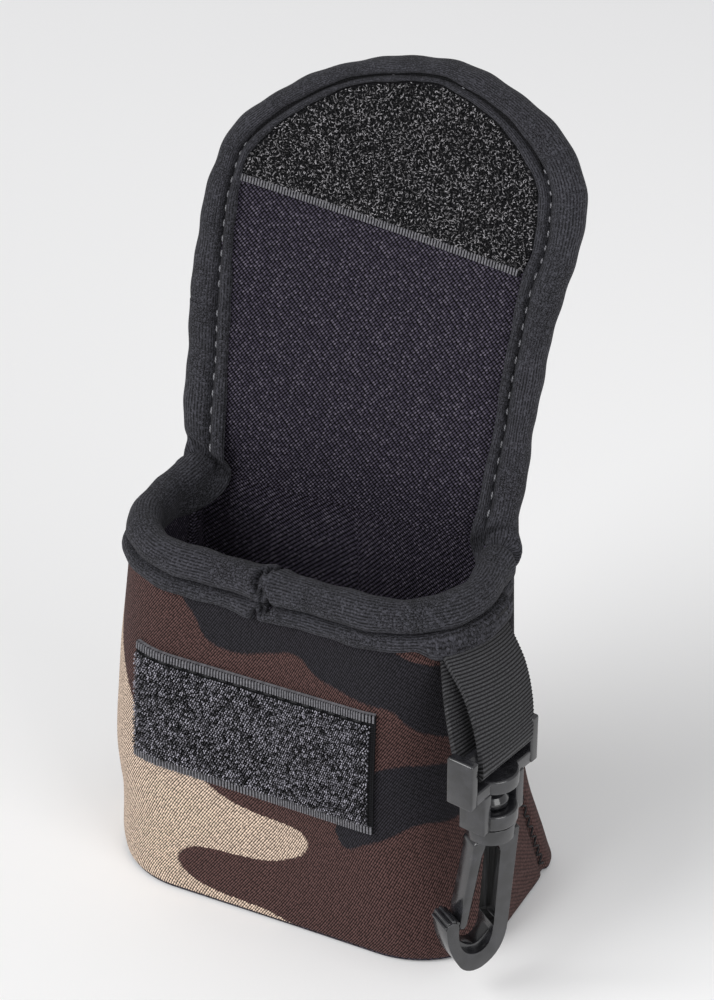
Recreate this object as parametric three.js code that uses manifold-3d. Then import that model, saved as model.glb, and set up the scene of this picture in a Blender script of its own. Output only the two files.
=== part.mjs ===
// Neoprene action camera case: a padded pouch with a fold-over flap, a hook-and-loop closure,
// bound edges, and a webbing loop that carries a moulded swivel snap hook.
// Millimetres: X to the right, Y to the back, Z up, origin at the middle of the underside.
// The flap stands open and leans back, as it does when the pocket is in use.
import * as THREE from 'three';
import { mergeVertices } from 'three/addons/utils/BufferGeometryUtils.js';
import Module from 'manifold-3d';

const wasm = await Module();
wasm.setup();

// Fits and sheet goods
const GAP = 0.3; // clearance between neighbouring pieces
const WALL = 4; // neoprene sheet with a knitted face on each side
const TAPE = 0.9; // binding tape, folded over an edge

// Pouch
const BASE_WIDTH = 80;
const BASE_DEPTH = 47;
const RIM_HEIGHT = 79; // top of the mouth binding
const FRONT_CORNER = 18; // plan radius of the two front corners
const BACK_CORNER = 9; // plan radius of the two back corners
const SEAM_INSET = 1.5; // from the side seam to the start of the back corner
const SIDE_DRAW = 3; // how far each side draws in at the mouth
const BACK_DRAW = 10; // how far the back draws in at the mouth
const LEFT_SWELL = 4.2; // how far the soft left side bellies out, a third of the way up
const BASE_ROUND = 1.4; // rounded edge of the bottom panel
const WALL_STEPS = 8; // rows of facets up a wall
const CORNER_STEPS = 4; // half the facets round a corner

// Mouth binding: a rolled top, a stitched groove and a turned lip
const BINDING_DROP = 8.4; // tape showing on the outside
const BINDING_TURN_IN = 8; // tape showing on the inside
const LIP_HEIGHT = 3.2; // from the tape's lower edge to the stitched groove
const LIP_SWELL = 0.6;
const ROLL_SWELL = 1;

// Hook tape on the front
const HOOK_TAPE_WIDTH = 54;
const HOOK_TAPE_HEIGHT = 26.2;
const HOOK_TAPE_THICK = 2;
const HOOK_TAPE_X = -2.2; // middle of the tape
const HOOK_TAPE_Z = 42.2;

// Flap: a bridge over the mouth and a rounded tongue that comes down the front
const FLAP_WIDTH = 74;
const FLAP_LEAN = THREE.MathUtils.degToRad(12);
const FLAP_LIP = 8; // binding showing on each face of the flap
const FLAP_ROUND = 1.6; // rolled outer edge of the binding
const FOLD_GAP = 0.6; // room under the fold for the flap to swing right back
const TONGUE_STRAIGHT = 6.6; // straight sides beyond the second fold
const TONGUE_ROUND = 32.5; // rise of the rounded end
const TONGUE_SKEW = 7; // how much fuller the rounded end is on its right
const TONGUE_STEPS = 16;
const LOOP_TAPE_THICK = 1.5;
const LOOP_TAPE_SETBACK = 4.7; // from the second fold to the tape's selvedge

// Webbing loop and the bar that it goes round
const WEBBING_WIDTH = 15.5;
const WEBBING_THICK = 1.4;
const WEBBING_DROP = 13.4; // from the sewn end down to the bar
const WEBBING_JOIN = 3; // sewn length where both leaves lie together
const WEBBING_BOW = 2; // swell of the outer leaf
const WEBBING_SLACK = 0.7; // swell of the inner leaf
const LOOP_STEPS = 10;
const ROOT_ANGLE = THREE.MathUtils.degToRad(62); // plan direction of the sewn end
const BAR_ANGLE = THREE.MathUtils.degToRad(80); // plan direction of the bar
const HANG_ANGLE = THREE.MathUtils.degToRad(54); // plan direction of the hook
const BAR_RADIUS = 1.8;

// Swivel eye, measured down from the middle of the bar
const EYE_THICK = 5.6;
const EYE_ROUND = 0.7;
const EYE_ARM = 2.1;
const EYE_SIDE_PLAY = 0.55; // between the webbing and each arm
const EYE_TOP = 2.4; // arms above the middle of the bar
const EYE_SLOT_DROP = 4.6; // down to the bridge below the webbing
const EYE_BRIDGE = 2.8;
const EYE_WINDOW = 4.8; // height of the window that shows the swivel head
const EYE_WINDOW_WIDTH = 7.8;
const EYE_YOKE_WIDTH = 12.6;
const EYE_SHOULDER = 2.6; // sloped part between the arms and the yoke
const RING_HEIGHT = 3.2;
const RING_RADIUS = 4.9;
const PIN_RADIUS = 1.7;
const HEAD_RADIUS = 3.1;
const HEAD_HEIGHT = 2.7;

// Snap hook, measured down from the underside of its collar and across from the swivel axis
const COLLAR_RADIUS = 4.5;
const COLLAR_HEIGHT = 3.1;
const HOOK_THICK = 5.6;
const HOOK_LENGTH = 30;
const SPINE_OUTER = 4.5;
const SPINE_INNER = 0.9;
const SPINE_CHANNEL_DEPTH = 2.2;
const SPINE_CHANNEL_WIDTH = 2.8;
const HOOK_HEEL = 19.5; // where the spine starts to curve under
const HOOK_LOW_X = -3; // lowest point of the bend
const BEND_THICK = 4;
const NOSE_REACH = 9.8; // from the swivel axis to the outside of the nose
const NOSE_WIDTH = 2.3;
const NOSE_TOP = 16.4;
const SWING_GAP = 0.5; // between the turning nose and the pouch

// Sprung gate of the hook
const GATE_THICK = 1.9;
const GATE_WIDTH = 4.4;
const GATE_ROOT_X = -3.2;
const GATE_OVERLAP = 2.2; // gate below the top of the nose
const ROUND_STEPS = 24;

// Derived places
const wallFoot = WALL + GAP;
const seamY = BASE_DEPTH / 2 - BACK_CORNER - SEAM_INSET;
const bindingHalf = WALL / 2 + GAP + TAPE;
const foldY = BASE_DEPTH / 2 - BACK_DRAW - WALL / 2;
const foldZ = RIM_HEIGHT + GAP + bindingHalf;
const frontClear = Math.max(TAPE + ROLL_SWELL, HOOK_TAPE_THICK);
const bridgeLength = foldY + BASE_DEPTH / 2 + frontClear + LOOP_TAPE_THICK + 3 * GAP + WALL / 2;
const webbingTop = RIM_HEIGHT - BINDING_DROP - GAP - WEBBING_THICK;
const barZ = webbingTop - WEBBING_DROP;
const collarFoot = -(EYE_SLOT_DROP + EYE_BRIDGE + EYE_WINDOW + RING_HEIGHT + GAP + COLLAR_HEIGHT);

// The sewn pouch draws in towards its mouth, more at the back than at the sides
function drawnIn(point) {
  const rise = THREE.MathUtils.clamp(point.z / RIM_HEIGHT, 0, 1);
  const ease = 1 - (1 - rise) ** 2;
  const cornerX = BASE_WIDTH / 2 - FRONT_CORNER;
  const cornerFrontY = FRONT_CORNER - BASE_DEPTH / 2;
  const cornerBackY = BASE_DEPTH / 2 - BACK_CORNER;
  const aside = THREE.MathUtils.clamp(point.x / cornerX, -1, 1);
  const behind = THREE.MathUtils.clamp((point.y - cornerFrontY) / (cornerBackY - cornerFrontY), 0, 1);
  const belly = 6.75 * rise * (1 - rise) ** 2;
  const x = point.x - aside * SIDE_DRAW * ease + Math.min(aside, 0) * LEFT_SWELL * belly;
  const y = point.y - behind * BACK_DRAW * ease;
  return new THREE.Vector3(x, y, point.z);
}

function drawIn(geometry) {
  const position = geometry.attributes.position;
  for (let i = 0; i < position.count; i += 1) {
    const moved = drawnIn(new THREE.Vector3().fromBufferAttribute(position, i));
    position.setXYZ(i, moved.x, moved.y, moved.z);
  }
  return geometry;
}

// Boolean joins and cuts
function toSolid(geometry) {
  const bare = geometry.clone();
  bare.deleteAttribute('normal');
  bare.deleteAttribute('uv');
  const merged = mergeVertices(bare);
  const vertProperties = new Float32Array(merged.attributes.position.array);
  const triVerts = new Uint32Array(merged.index.array);
  return new wasm.Manifold(new wasm.Mesh({ numProp: 3, vertProperties, triVerts }));
}

function toGeometry(solid) {
  const mesh = solid.getMesh();
  const geometry = new THREE.BufferGeometry();
  geometry.setAttribute('position', new THREE.BufferAttribute(mesh.vertProperties, 3));
  geometry.setIndex(new THREE.BufferAttribute(mesh.triVerts, 1));
  geometry.computeVertexNormals();
  return geometry;
}

function join(first, ...others) {
  return toGeometry(others.reduce((sum, geometry) => sum.add(toSolid(geometry)), toSolid(first)));
}

function cut(first, ...others) {
  return toGeometry(others.reduce((rest, geometry) => rest.subtract(toSolid(geometry)), toSolid(first)));
}

// Plan outlines of the pouch at an offset from its outer face, run anticlockwise seen from above
function frontOutline(offset) {
  const half = BASE_WIDTH / 2 + offset;
  const front = -BASE_DEPTH / 2 - offset;
  const radius = FRONT_CORNER + offset;
  const path = new THREE.Path();
  path.moveTo(-half, seamY - GAP / 2);
  path.lineTo(-half, front + radius);
  path.absarc(radius - half, front + radius, radius, Math.PI, 1.5 * Math.PI);
  path.absarc(half - radius, front + radius, radius, 1.5 * Math.PI, 2 * Math.PI);
  path.lineTo(half, seamY - GAP / 2);
  return path.getPoints(CORNER_STEPS);
}

function backOutline(offset) {
  const half = BASE_WIDTH / 2 + offset;
  const back = BASE_DEPTH / 2 + offset;
  const radius = BACK_CORNER + offset;
  const path = new THREE.Path();
  path.moveTo(half, seamY + GAP / 2);
  path.lineTo(half, back - radius);
  path.absarc(half - radius, back - radius, radius, 0, Math.PI / 2);
  path.absarc(radius - half, back - radius, radius, Math.PI / 2, Math.PI);
  path.lineTo(-half, seamY + GAP / 2);
  return path.getPoints(CORNER_STEPS);
}

function hookTapeOutline(offset) {
  const cornerX = BASE_WIDTH / 2 - FRONT_CORNER;
  const front = -BASE_DEPTH / 2 - offset;
  const radius = FRONT_CORNER + offset;
  const leftRun = Math.max(HOOK_TAPE_WIDTH / 2 - HOOK_TAPE_X - cornerX, 0) / FRONT_CORNER;
  const rightRun = Math.max(HOOK_TAPE_WIDTH / 2 + HOOK_TAPE_X - cornerX, 0) / FRONT_CORNER;
  const path = new THREE.Path();
  if (leftRun > 0) {
    path.absarc(-cornerX, front + radius, radius, 1.5 * Math.PI - leftRun, 1.5 * Math.PI);
  } else {
    path.moveTo(HOOK_TAPE_X - HOOK_TAPE_WIDTH / 2, front);
  }
  if (rightRun > 0) {
    path.lineTo(cornerX, front);
    path.absarc(cornerX, front + radius, radius, 1.5 * Math.PI, 1.5 * Math.PI + rightRun);
  } else {
    path.lineTo(HOOK_TAPE_X + HOOK_TAPE_WIDTH / 2, front);
  }
  return path.getPoints(CORNER_STEPS);
}

// A band carries every [offset, height] point of its section along an outline, with closed ends
function band(outline, section) {
  const rows = section.map(([offset, z]) => outline(offset).map((p) => new THREE.Vector3(p.x, p.y, z)));
  const run = rows[0].length;
  const index = [];
  rows.forEach((row, j) => {
    const next = (j + 1) % rows.length;
    for (let i = 0; i + 1 < run; i += 1) {
      const here = j * run + i;
      const there = next * run + i;
      index.push(here, here + 1, there + 1, here, there + 1, there);
    }
  });
  const contour = section.map(([offset, z]) => new THREE.Vector2(offset, z));
  THREE.ShapeUtils.triangulateShape(contour, []).forEach(([a, b, c]) => {
    const last = run - 1;
    index.push(a * run, b * run, c * run);
    index.push(c * run + last, b * run + last, a * run + last);
  });
  const geometry = new THREE.BufferGeometry().setFromPoints(rows.flat());
  geometry.setIndex(index);
  geometry.computeVertexNormals();
  return geometry;
}

function wallSection(inner, outer, low, high, steps) {
  const heights = Array.from({ length: steps + 1 }, (_, i) => low + ((high - low) * i) / steps);
  const outside = heights.map((z) => [outer, z]);
  const inside = heights.map((z) => [inner, z]).reverse();
  return [...outside, ...inside];
}

// Flat pieces of the flap: a shape in X and height, given its thickness along Y
function slab(shape, thick, round = 0) {
  const geometry = new THREE.ExtrudeGeometry(shape, {
    depth: thick - 2 * round,
    bevelEnabled: round > 0,
    bevelThickness: round,
    bevelSize: round,
    bevelOffset: -round,
    bevelSegments: 2,
    curveSegments: TONGUE_STEPS,
  });
  return geometry.rotateX(Math.PI / 2).translate(0, thick / 2 - round, 0);
}

function box(x0, x1, y0, y1, z0, z1) {
  const geometry = new THREE.BoxGeometry(x1 - x0, y1 - y0, z1 - z0);
  return geometry.translate((x0 + x1) / 2, (y0 + y1) / 2, (z0 + z1) / 2);
}

function rod(radius, x0, x1) {
  const geometry = new THREE.CylinderGeometry(radius, radius, x1 - x0, ROUND_STEPS);
  return geometry.rotateZ(Math.PI / 2).translate((x0 + x1) / 2, 0, 0);
}

function post(radius, z0, z1) {
  const geometry = new THREE.CylinderGeometry(radius, radius, z1 - z0, ROUND_STEPS);
  return geometry.rotateX(Math.PI / 2).translate(0, 0, (z0 + z1) / 2);
}

// Pouch pieces
function frontSideWrap() {
  const section = wallSection(-WALL, 0, wallFoot, RIM_HEIGHT - TAPE - GAP, WALL_STEPS);
  return drawIn(band(frontOutline, section));
}

// A panel that ends at a fold is trimmed at both corners, below the rolled binding beyond the fold
function trimCorners(panel, foldHeight, room) {
  const inner = FLAP_WIDTH / 2 - FLAP_LIP - GAP;
  const foot = foldHeight - bindingHalf - room;
  const right = box(inner, BASE_WIDTH, -BASE_DEPTH, BASE_DEPTH, foot, foldHeight);
  const left = box(-BASE_WIDTH, -inner, -BASE_DEPTH, BASE_DEPTH, foot, foldHeight);
  return cut(panel, right, left);
}

function backPanel() {
  const top = foldZ - WALL / 2 - FOLD_GAP;
  const panel = drawIn(band(backOutline, wallSection(-WALL, 0, wallFoot, top, WALL_STEPS)));
  return trimCorners(panel, foldZ, FOLD_GAP);
}

function bottomPanel() {
  const seam = [...frontOutline(0), ...backOutline(0)];
  const geometry = new THREE.ExtrudeGeometry(new THREE.Shape(seam), {
    depth: WALL - 2 * BASE_ROUND,
    bevelThickness: BASE_ROUND,
    bevelSize: BASE_ROUND,
    bevelOffset: -BASE_ROUND,
    bevelSegments: 2,
  });
  return drawIn(geometry.translate(0, 0, BASE_ROUND));
}

function mouthBinding() {
  const outer = GAP + TAPE;
  const inner = -WALL - GAP;
  const low = RIM_HEIGHT - BINDING_DROP;
  const groove = low + LIP_HEIGHT;
  const rollHeight = RIM_HEIGHT - groove;
  const section = [
    [GAP, low],
    [outer, low],
    [outer + LIP_SWELL, low + LIP_HEIGHT / 2],
    [outer, groove],
    [outer + ROLL_SWELL, groove + rollHeight / 3],
    [outer + ROLL_SWELL, groove + (rollHeight * 2) / 3],
    [GAP, RIM_HEIGHT],
    [inner, RIM_HEIGHT],
    [inner - TAPE, RIM_HEIGHT - TAPE],
    [inner - TAPE, RIM_HEIGHT - BINDING_TURN_IN],
    [inner, RIM_HEIGHT - BINDING_TURN_IN],
    [inner, RIM_HEIGHT - TAPE],
    [GAP, RIM_HEIGHT - TAPE],
  ];
  return drawIn(band(frontOutline, section));
}

function hookTape() {
  const low = HOOK_TAPE_Z - HOOK_TAPE_HEIGHT / 2;
  const high = HOOK_TAPE_Z + HOOK_TAPE_HEIGHT / 2;
  return drawIn(band(hookTapeOutline, wallSection(GAP, GAP + HOOK_TAPE_THICK, low, high, WALL_STEPS)));
}

// Flap pieces, each drawn upright from its own fold line
function bridgePanel() {
  const half = FLAP_WIDTH / 2 - TAPE - GAP;
  const top = bridgeLength - WALL / 2 - GAP;
  const panel = join(box(-half, half, -WALL / 2, WALL / 2, 0, top), rod(WALL / 2, -half, half));
  return trimCorners(panel, bridgeLength, GAP);
}

function bridgeBinding(side) {
  const out = FLAP_WIDTH / 2;
  const inside = out - FLAP_LIP;
  const top = bridgeLength - bindingHalf - GAP;
  const section = new THREE.Shape();
  section.moveTo(inside, -bindingHalf);
  section.lineTo(out - FLAP_ROUND, -bindingHalf);
  section.absarc(out - FLAP_ROUND, FLAP_ROUND - bindingHalf, FLAP_ROUND, -Math.PI / 2, 0);
  section.absarc(out - FLAP_ROUND, bindingHalf - FLAP_ROUND, FLAP_ROUND, 0, Math.PI / 2);
  section.lineTo(inside, bindingHalf);
  const strip = new THREE.ExtrudeGeometry(section, { depth: top, bevelEnabled: false, curveSegments: 4 });
  const roll = rod(bindingHalf, inside, out - FLAP_ROUND / 2);
  const pocketHalf = WALL / 2 + GAP;
  const pocket = box(inside - GAP, out - TAPE, -pocketHalf, pocketHalf, -bindingHalf - GAP, top + GAP);
  const channel = cut(join(strip, roll), pocket);
  return side > 0 ? channel : channel.rotateZ(Math.PI);
}

function tongueOutline(inset, low) {
  const half = FLAP_WIDTH / 2 - inset;
  const shape = new THREE.Shape();
  shape.moveTo(-half, low);
  shape.lineTo(half, low);
  for (let i = 0; i <= 2 * TONGUE_STEPS; i += 1) {
    const turn = (Math.PI * i) / (2 * TONGUE_STEPS);
    const rise = TONGUE_ROUND - inset + TONGUE_SKEW * Math.cos(turn);
    shape.lineTo(half * Math.cos(turn), TONGUE_STRAIGHT + rise * Math.sin(turn));
  }
  return shape;
}

function tonguePanel() {
  const inset = TAPE + GAP;
  const half = FLAP_WIDTH / 2 - inset;
  return join(slab(tongueOutline(inset, 0), WALL), rod(WALL / 2, -half, half));
}

function tongueBinding() {
  const out = FLAP_WIDTH / 2;
  const inside = out - FLAP_LIP;
  const below = -bindingHalf - GAP;
  const edge = slab(tongueOutline(0, 0), 2 * bindingHalf, FLAP_ROUND);
  const rightRoll = rod(bindingHalf, inside, out - FLAP_ROUND / 2);
  const leftRoll = rod(bindingHalf, FLAP_ROUND / 2 - out, -inside);
  const pocket = slab(tongueOutline(TAPE, below), WALL + 2 * GAP);
  const window = slab(tongueOutline(FLAP_LIP, below), 4 * bindingHalf);
  return cut(join(edge, rightRoll, leftRoll), pocket, window);
}

function loopTape() {
  const outline = tongueOutline(FLAP_LIP + GAP, LOOP_TAPE_SETBACK);
  const y = -(WALL / 2 + GAP + LOOP_TAPE_THICK / 2);
  return slab(outline, LOOP_TAPE_THICK).translate(0, y, 0);
}

// Webbing loop: its teardrop side view is drawn outward and up from the middle of the bar, and
// the finished strip is twisted up to the corner that it is sewn to
function webbingLoop(root) {
  const sewnEnd = new THREE.Vector2(-root.y, WEBBING_DROP);
  const along = sewnEnd.clone().normalize();
  const across = new THREE.Vector2(along.y, -along.x);
  const tilt = across.angle();
  const place = (run, swell) => along.clone().multiplyScalar(run).addScaledVector(across, swell);
  const length = sewnEnd.length();

  function teardrop(path, radius, run, half) {
    const bow = place(run / 2, (radius + half) / 2 + WEBBING_BOW);
    path.quadraticCurveTo(bow.x, bow.y, radius * Math.cos(tilt), radius * Math.sin(tilt));
    path.absarc(0, 0, radius, tilt, tilt - Math.PI, true);
    const slack = place(run / 2, -(radius + half) / 2 - WEBBING_SLACK);
    const start = path.curves[0].getPoint(0);
    path.quadraticCurveTo(slack.x, slack.y, start.x, start.y);
  }

  const innerRadius = BAR_RADIUS + GAP;
  const fork = place(length - WEBBING_JOIN, 0);
  const hole = new THREE.Path();
  hole.moveTo(fork.x, fork.y);
  teardrop(hole, innerRadius, length - WEBBING_JOIN, 0);
  const shape = new THREE.Shape();
  shape.absarc(sewnEnd.x, sewnEnd.y, WEBBING_THICK, tilt + Math.PI, tilt, true);
  teardrop(shape, innerRadius + WEBBING_THICK, length, WEBBING_THICK);
  shape.holes.push(new THREE.Path(hole.getPoints(LOOP_STEPS).reverse()));
  const geometry = new THREE.ExtrudeGeometry(shape, {
    depth: WEBBING_WIDTH,
    bevelEnabled: false,
    curveSegments: LOOP_STEPS,
  });
  const outward = new THREE.Vector3(0, -1, 0);
  const up = new THREE.Vector3(0, 0, 1);
  const sideways = new THREE.Vector3(-1, 0, 0);
  geometry.applyMatrix4(new THREE.Matrix4().makeBasis(outward, up, sideways));
  geometry.translate(WEBBING_WIDTH / 2, 0, 0);
  const corners = geometry.attributes.position;
  for (let i = 0; i < corners.count; i += 1) {
    const point = new THREE.Vector3().fromBufferAttribute(corners, i);
    const share = THREE.MathUtils.smoothstep(point.z, EYE_TOP, WEBBING_DROP);
    const middle = new THREE.Vector3(0, (root.y * point.z) / WEBBING_DROP, 0);
    point.sub(middle).applyAxisAngle(up, (ROOT_ANGLE - BAR_ANGLE) * share).add(middle);
    corners.setXYZ(i, point.x + root.x * share, point.y, point.z);
  }
  return geometry;
}

// Swivel eye: two arms carry the bar, and a yoke with a window holds the ring of the swivel
function swivelEye() {
  const slotHalf = WEBBING_WIDTH / 2 + EYE_SIDE_PLAY;
  const armHalf = slotHalf + EYE_ARM;
  const yokeHalf = EYE_YOKE_WIDTH / 2;
  const windowTop = -EYE_SLOT_DROP - EYE_BRIDGE;
  const windowFoot = windowTop - EYE_WINDOW;
  const foot = windowFoot - RING_HEIGHT;
  const shoulder = windowTop - EYE_SHOULDER;
  const outline = new THREE.Shape();
  outline.moveTo(-armHalf, EYE_TOP);
  outline.lineTo(-armHalf, windowTop);
  outline.lineTo(-yokeHalf, shoulder);
  outline.lineTo(-yokeHalf, foot);
  outline.lineTo(yokeHalf, foot);
  outline.lineTo(yokeHalf, shoulder);
  outline.lineTo(armHalf, windowTop);
  outline.lineTo(armHalf, EYE_TOP);
  outline.lineTo(slotHalf, EYE_TOP);
  outline.lineTo(slotHalf, -EYE_SLOT_DROP);
  outline.lineTo(-slotHalf, -EYE_SLOT_DROP);
  outline.lineTo(-slotHalf, EYE_TOP);
  const frame = slab(outline, EYE_THICK, EYE_ROUND);
  const bar = rod(BAR_RADIUS, -slotHalf - EYE_ARM / 2, slotHalf + EYE_ARM / 2);
  const crown = post(RING_RADIUS, windowTop, windowTop + EYE_BRIDGE / 2);
  const ring = post(RING_RADIUS, foot, windowFoot);
  const windowHalf = EYE_WINDOW_WIDTH / 2;
  const windowCut = box(-windowHalf, windowHalf, -RING_RADIUS, RING_RADIUS, windowFoot, windowTop);
  const bore = post(PIN_RADIUS + GAP, foot - GAP, windowFoot + GAP);
  return cut(join(frame, bar, crown, ring), windowCut, bore);
}

// Snap hook: swivel head, pin and collar turned in one with a deep spine, a bend and a nose
function snapHook() {
  const ringTop = -(EYE_SLOT_DROP + EYE_BRIDGE + EYE_WINDOW);
  const headFoot = ringTop + GAP;
  const collarTop = ringTop - RING_HEIGHT - GAP;
  const turned = new THREE.LatheGeometry(
    [
      [0, collarFoot],
      [COLLAR_RADIUS - GAP, collarFoot],
      [COLLAR_RADIUS, collarFoot + 2 * GAP],
      [COLLAR_RADIUS, collarTop],
      [PIN_RADIUS, collarTop],
      [PIN_RADIUS, headFoot],
      [HEAD_RADIUS, headFoot],
      [HEAD_RADIUS, headFoot + HEAD_HEIGHT / 2],
      [HEAD_RADIUS / 2, headFoot + HEAD_HEIGHT],
      [0, headFoot + HEAD_HEIGHT],
    ].map(([r, z]) => new THREE.Vector2(r, z)),
    ROUND_STEPS,
  ).rotateX(Math.PI / 2);

  const heel = collarFoot - HOOK_HEEL;
  const low = collarFoot - HOOK_LENGTH;
  const noseTop = collarFoot - NOSE_TOP;
  const noseInner = NOSE_WIDTH - NOSE_REACH;
  const bendInner = low + BEND_THICK;
  const spineTop = GATE_ROOT_X + GATE_THICK / 2 + 2 * GAP;
  const bow = new THREE.Shape();
  bow.moveTo(spineTop, collarFoot + COLLAR_HEIGHT / 2);
  bow.lineTo(SPINE_INNER, collarFoot - NOSE_WIDTH);
  bow.lineTo(SPINE_INNER, heel);
  bow.quadraticCurveTo(SPINE_INNER, bendInner, HOOK_LOW_X, bendInner);
  bow.quadraticCurveTo(noseInner, bendInner, noseInner, heel);
  bow.lineTo(noseInner, noseTop - NOSE_WIDTH / 2);
  bow.absarc(noseInner - NOSE_WIDTH / 2, noseTop - NOSE_WIDTH / 2, NOSE_WIDTH / 2, 0, Math.PI);
  bow.quadraticCurveTo(-NOSE_REACH, (heel + low) / 2, HOOK_LOW_X - NOSE_WIDTH, low + BEND_THICK / 8);
  bow.quadraticCurveTo(HOOK_LOW_X, low, HOOK_LOW_X + NOSE_WIDTH, low + BEND_THICK / 8);
  bow.quadraticCurveTo(SPINE_OUTER - EYE_ROUND, (heel + low) / 2, SPINE_OUTER - EYE_ROUND, heel);
  bow.lineTo(SPINE_OUTER, collarFoot + COLLAR_HEIGHT / 2);
  const body = slab(bow, HOOK_THICK, EYE_ROUND);
  const channelHalf = SPINE_CHANNEL_WIDTH / 2;
  const channelEnd = SPINE_INNER + SPINE_CHANNEL_DEPTH;
  const channelTop = collarFoot - 2 * NOSE_WIDTH;
  const channel = box(noseInner + NOSE_WIDTH, channelEnd, -channelHalf, channelHalf, heel, channelTop);
  return cut(join(turned, body), channel);
}

// Sprung gate: a tongue that springs from the collar and closes against the inside of the nose
function hookGate() {
  const rootZ = collarFoot - GAP - GATE_THICK / 2;
  const tipX = NOSE_WIDTH - NOSE_REACH + GAP + GATE_THICK / 2;
  const tipZ = collarFoot - NOSE_TOP - GATE_OVERLAP;
  const root = new THREE.Vector2(GATE_ROOT_X, rootZ);
  const run = new THREE.Vector2(tipX, tipZ).sub(root);
  const half = GATE_THICK / 2;
  const outline = new THREE.Shape();
  outline.absarc(0, 0, half, -Math.PI / 2, Math.PI / 2);
  outline.lineTo(-run.length(), half);
  outline.lineTo(-run.length(), -half);
  const tongue = slab(outline, GATE_WIDTH);
  return tongue.rotateY(Math.PI - run.angle()).translate(root.x, 0, root.y);
}

// Assembly
function material(name, colour, roughness) {
  return new THREE.MeshStandardMaterial({ name, color: colour, roughness, metalness: 0 });
}

function piece(name, geometry, finish) {
  const mesh = new THREE.Mesh(geometry, finish.clone());
  mesh.name = name;
  return mesh;
}

const camouflage = material('camouflage neoprene', 0x6b5646, 0.9);
const lining = material('black neoprene', 0x2a2830, 0.92);
const jersey = material('charcoal binding tape', 0x2c2d33, 0.9);
const hookNylon = material('hook tape', 0x3a3b42, 0.6);
const loopNylon = material('loop tape', 0x232326, 0.97);
const webbing = material('ribbed nylon webbing', 0x17171a, 0.75);
const acetal = material('black acetal', 0x1d1d20, 0.38);

const pouch = new THREE.Group();
pouch.add(
  piece('front_side_wrap', frontSideWrap(), camouflage),
  piece('back_panel', backPanel(), camouflage),
  piece('bottom_panel', bottomPanel(), camouflage),
  piece('mouth_binding', mouthBinding(), jersey),
  piece('hook_tape_patch', hookTape(), hookNylon),
);

const tongue = new THREE.Group();
tongue.position.z = bridgeLength;
tongue.add(
  piece('flap_tongue_panel', tonguePanel(), lining),
  piece('flap_tongue_binding', tongueBinding(), jersey),
  piece('loop_tape_patch', loopTape(), loopNylon),
);

const flap = new THREE.Group();
flap.position.set(0, foldY, foldZ);
flap.rotation.x = -FLAP_LEAN;
flap.add(
  piece('flap_bridge_panel', bridgePanel(), lining),
  piece('flap_bridge_binding_right', bridgeBinding(1), jersey),
  piece('flap_bridge_binding_left', bridgeBinding(-1), jersey),
  tongue,
);

// The loop hangs off the right front corner, far enough out for the hook to turn right round
const cornerX = BASE_WIDTH / 2 - FRONT_CORNER;
const cornerY = FRONT_CORNER - BASE_DEPTH / 2;
const hangCorner = drawnIn(new THREE.Vector3(cornerX, cornerY, webbingTop));
const hangDirection = new THREE.Vector3(Math.sin(HANG_ANGLE), -Math.cos(HANG_ANGLE), 0);
const rootDirection = new THREE.Vector3(Math.sin(ROOT_ANGLE), -Math.cos(ROOT_ANGLE), 0);
const rootOut = FRONT_CORNER + GAP + WEBBING_THICK;
const barOut = FRONT_CORNER + SIDE_DRAW * hangDirection.x + NOSE_REACH + SWING_GAP;
const sewnRoot = hangCorner.clone().addScaledVector(rootDirection, rootOut);

const hook = new THREE.Group();
hook.position.copy(hangCorner).addScaledVector(hangDirection, barOut);
hook.position.z = barZ;
hook.rotation.z = HANG_ANGLE;
hook.add(piece('snap_hook', snapHook(), acetal), piece('hook_gate', hookGate(), acetal));

const hanger = new THREE.Group();
hanger.position.copy(hook.position);
hanger.rotation.z = BAR_ANGLE;
hanger.updateMatrixWorld();
hanger.add(
  piece('webbing_loop', webbingLoop(hanger.worldToLocal(sewnRoot.clone())), webbing),
  piece('swivel_eye', swivelEye(), acetal),
);

const cameraCase = new THREE.Group();
cameraCase.add(pouch, flap, hanger, hook);

export default cameraCase;
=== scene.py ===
import bisect
import functools
import math
import random

import bmesh
import bpy
from mathutils import Matrix, Vector


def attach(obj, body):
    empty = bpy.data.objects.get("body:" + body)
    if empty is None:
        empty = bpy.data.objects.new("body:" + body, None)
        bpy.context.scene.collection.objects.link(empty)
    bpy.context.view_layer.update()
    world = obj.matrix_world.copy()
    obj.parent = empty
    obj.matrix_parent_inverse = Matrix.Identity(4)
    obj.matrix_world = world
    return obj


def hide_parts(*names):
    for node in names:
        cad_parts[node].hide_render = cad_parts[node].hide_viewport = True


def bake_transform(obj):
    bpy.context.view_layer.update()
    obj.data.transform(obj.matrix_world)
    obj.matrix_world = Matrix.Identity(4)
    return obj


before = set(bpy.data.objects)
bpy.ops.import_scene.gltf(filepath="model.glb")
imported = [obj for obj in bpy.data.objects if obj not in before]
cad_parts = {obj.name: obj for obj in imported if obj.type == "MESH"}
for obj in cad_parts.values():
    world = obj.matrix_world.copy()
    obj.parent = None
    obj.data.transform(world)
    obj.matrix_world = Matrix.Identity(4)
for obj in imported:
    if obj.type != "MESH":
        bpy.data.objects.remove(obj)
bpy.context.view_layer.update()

# Camera
# A long lens looks down on the standing case from its right front, with the open flap
# at the top of the frame. Lengths are in millimetres until a mesh is finished.
MM = 0.001
VIEW_TURN = math.radians(27.34)
VIEW_RISE = math.radians(30.76)
VIEW_DISTANCE = 592.25
VIEW_AIM = Vector((0, 0, 90))
SENSOR_WIDTH, LENS_LENGTH = 36, 116.3
LENS_SHIFT = (0.0224, -0.0384)
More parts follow.
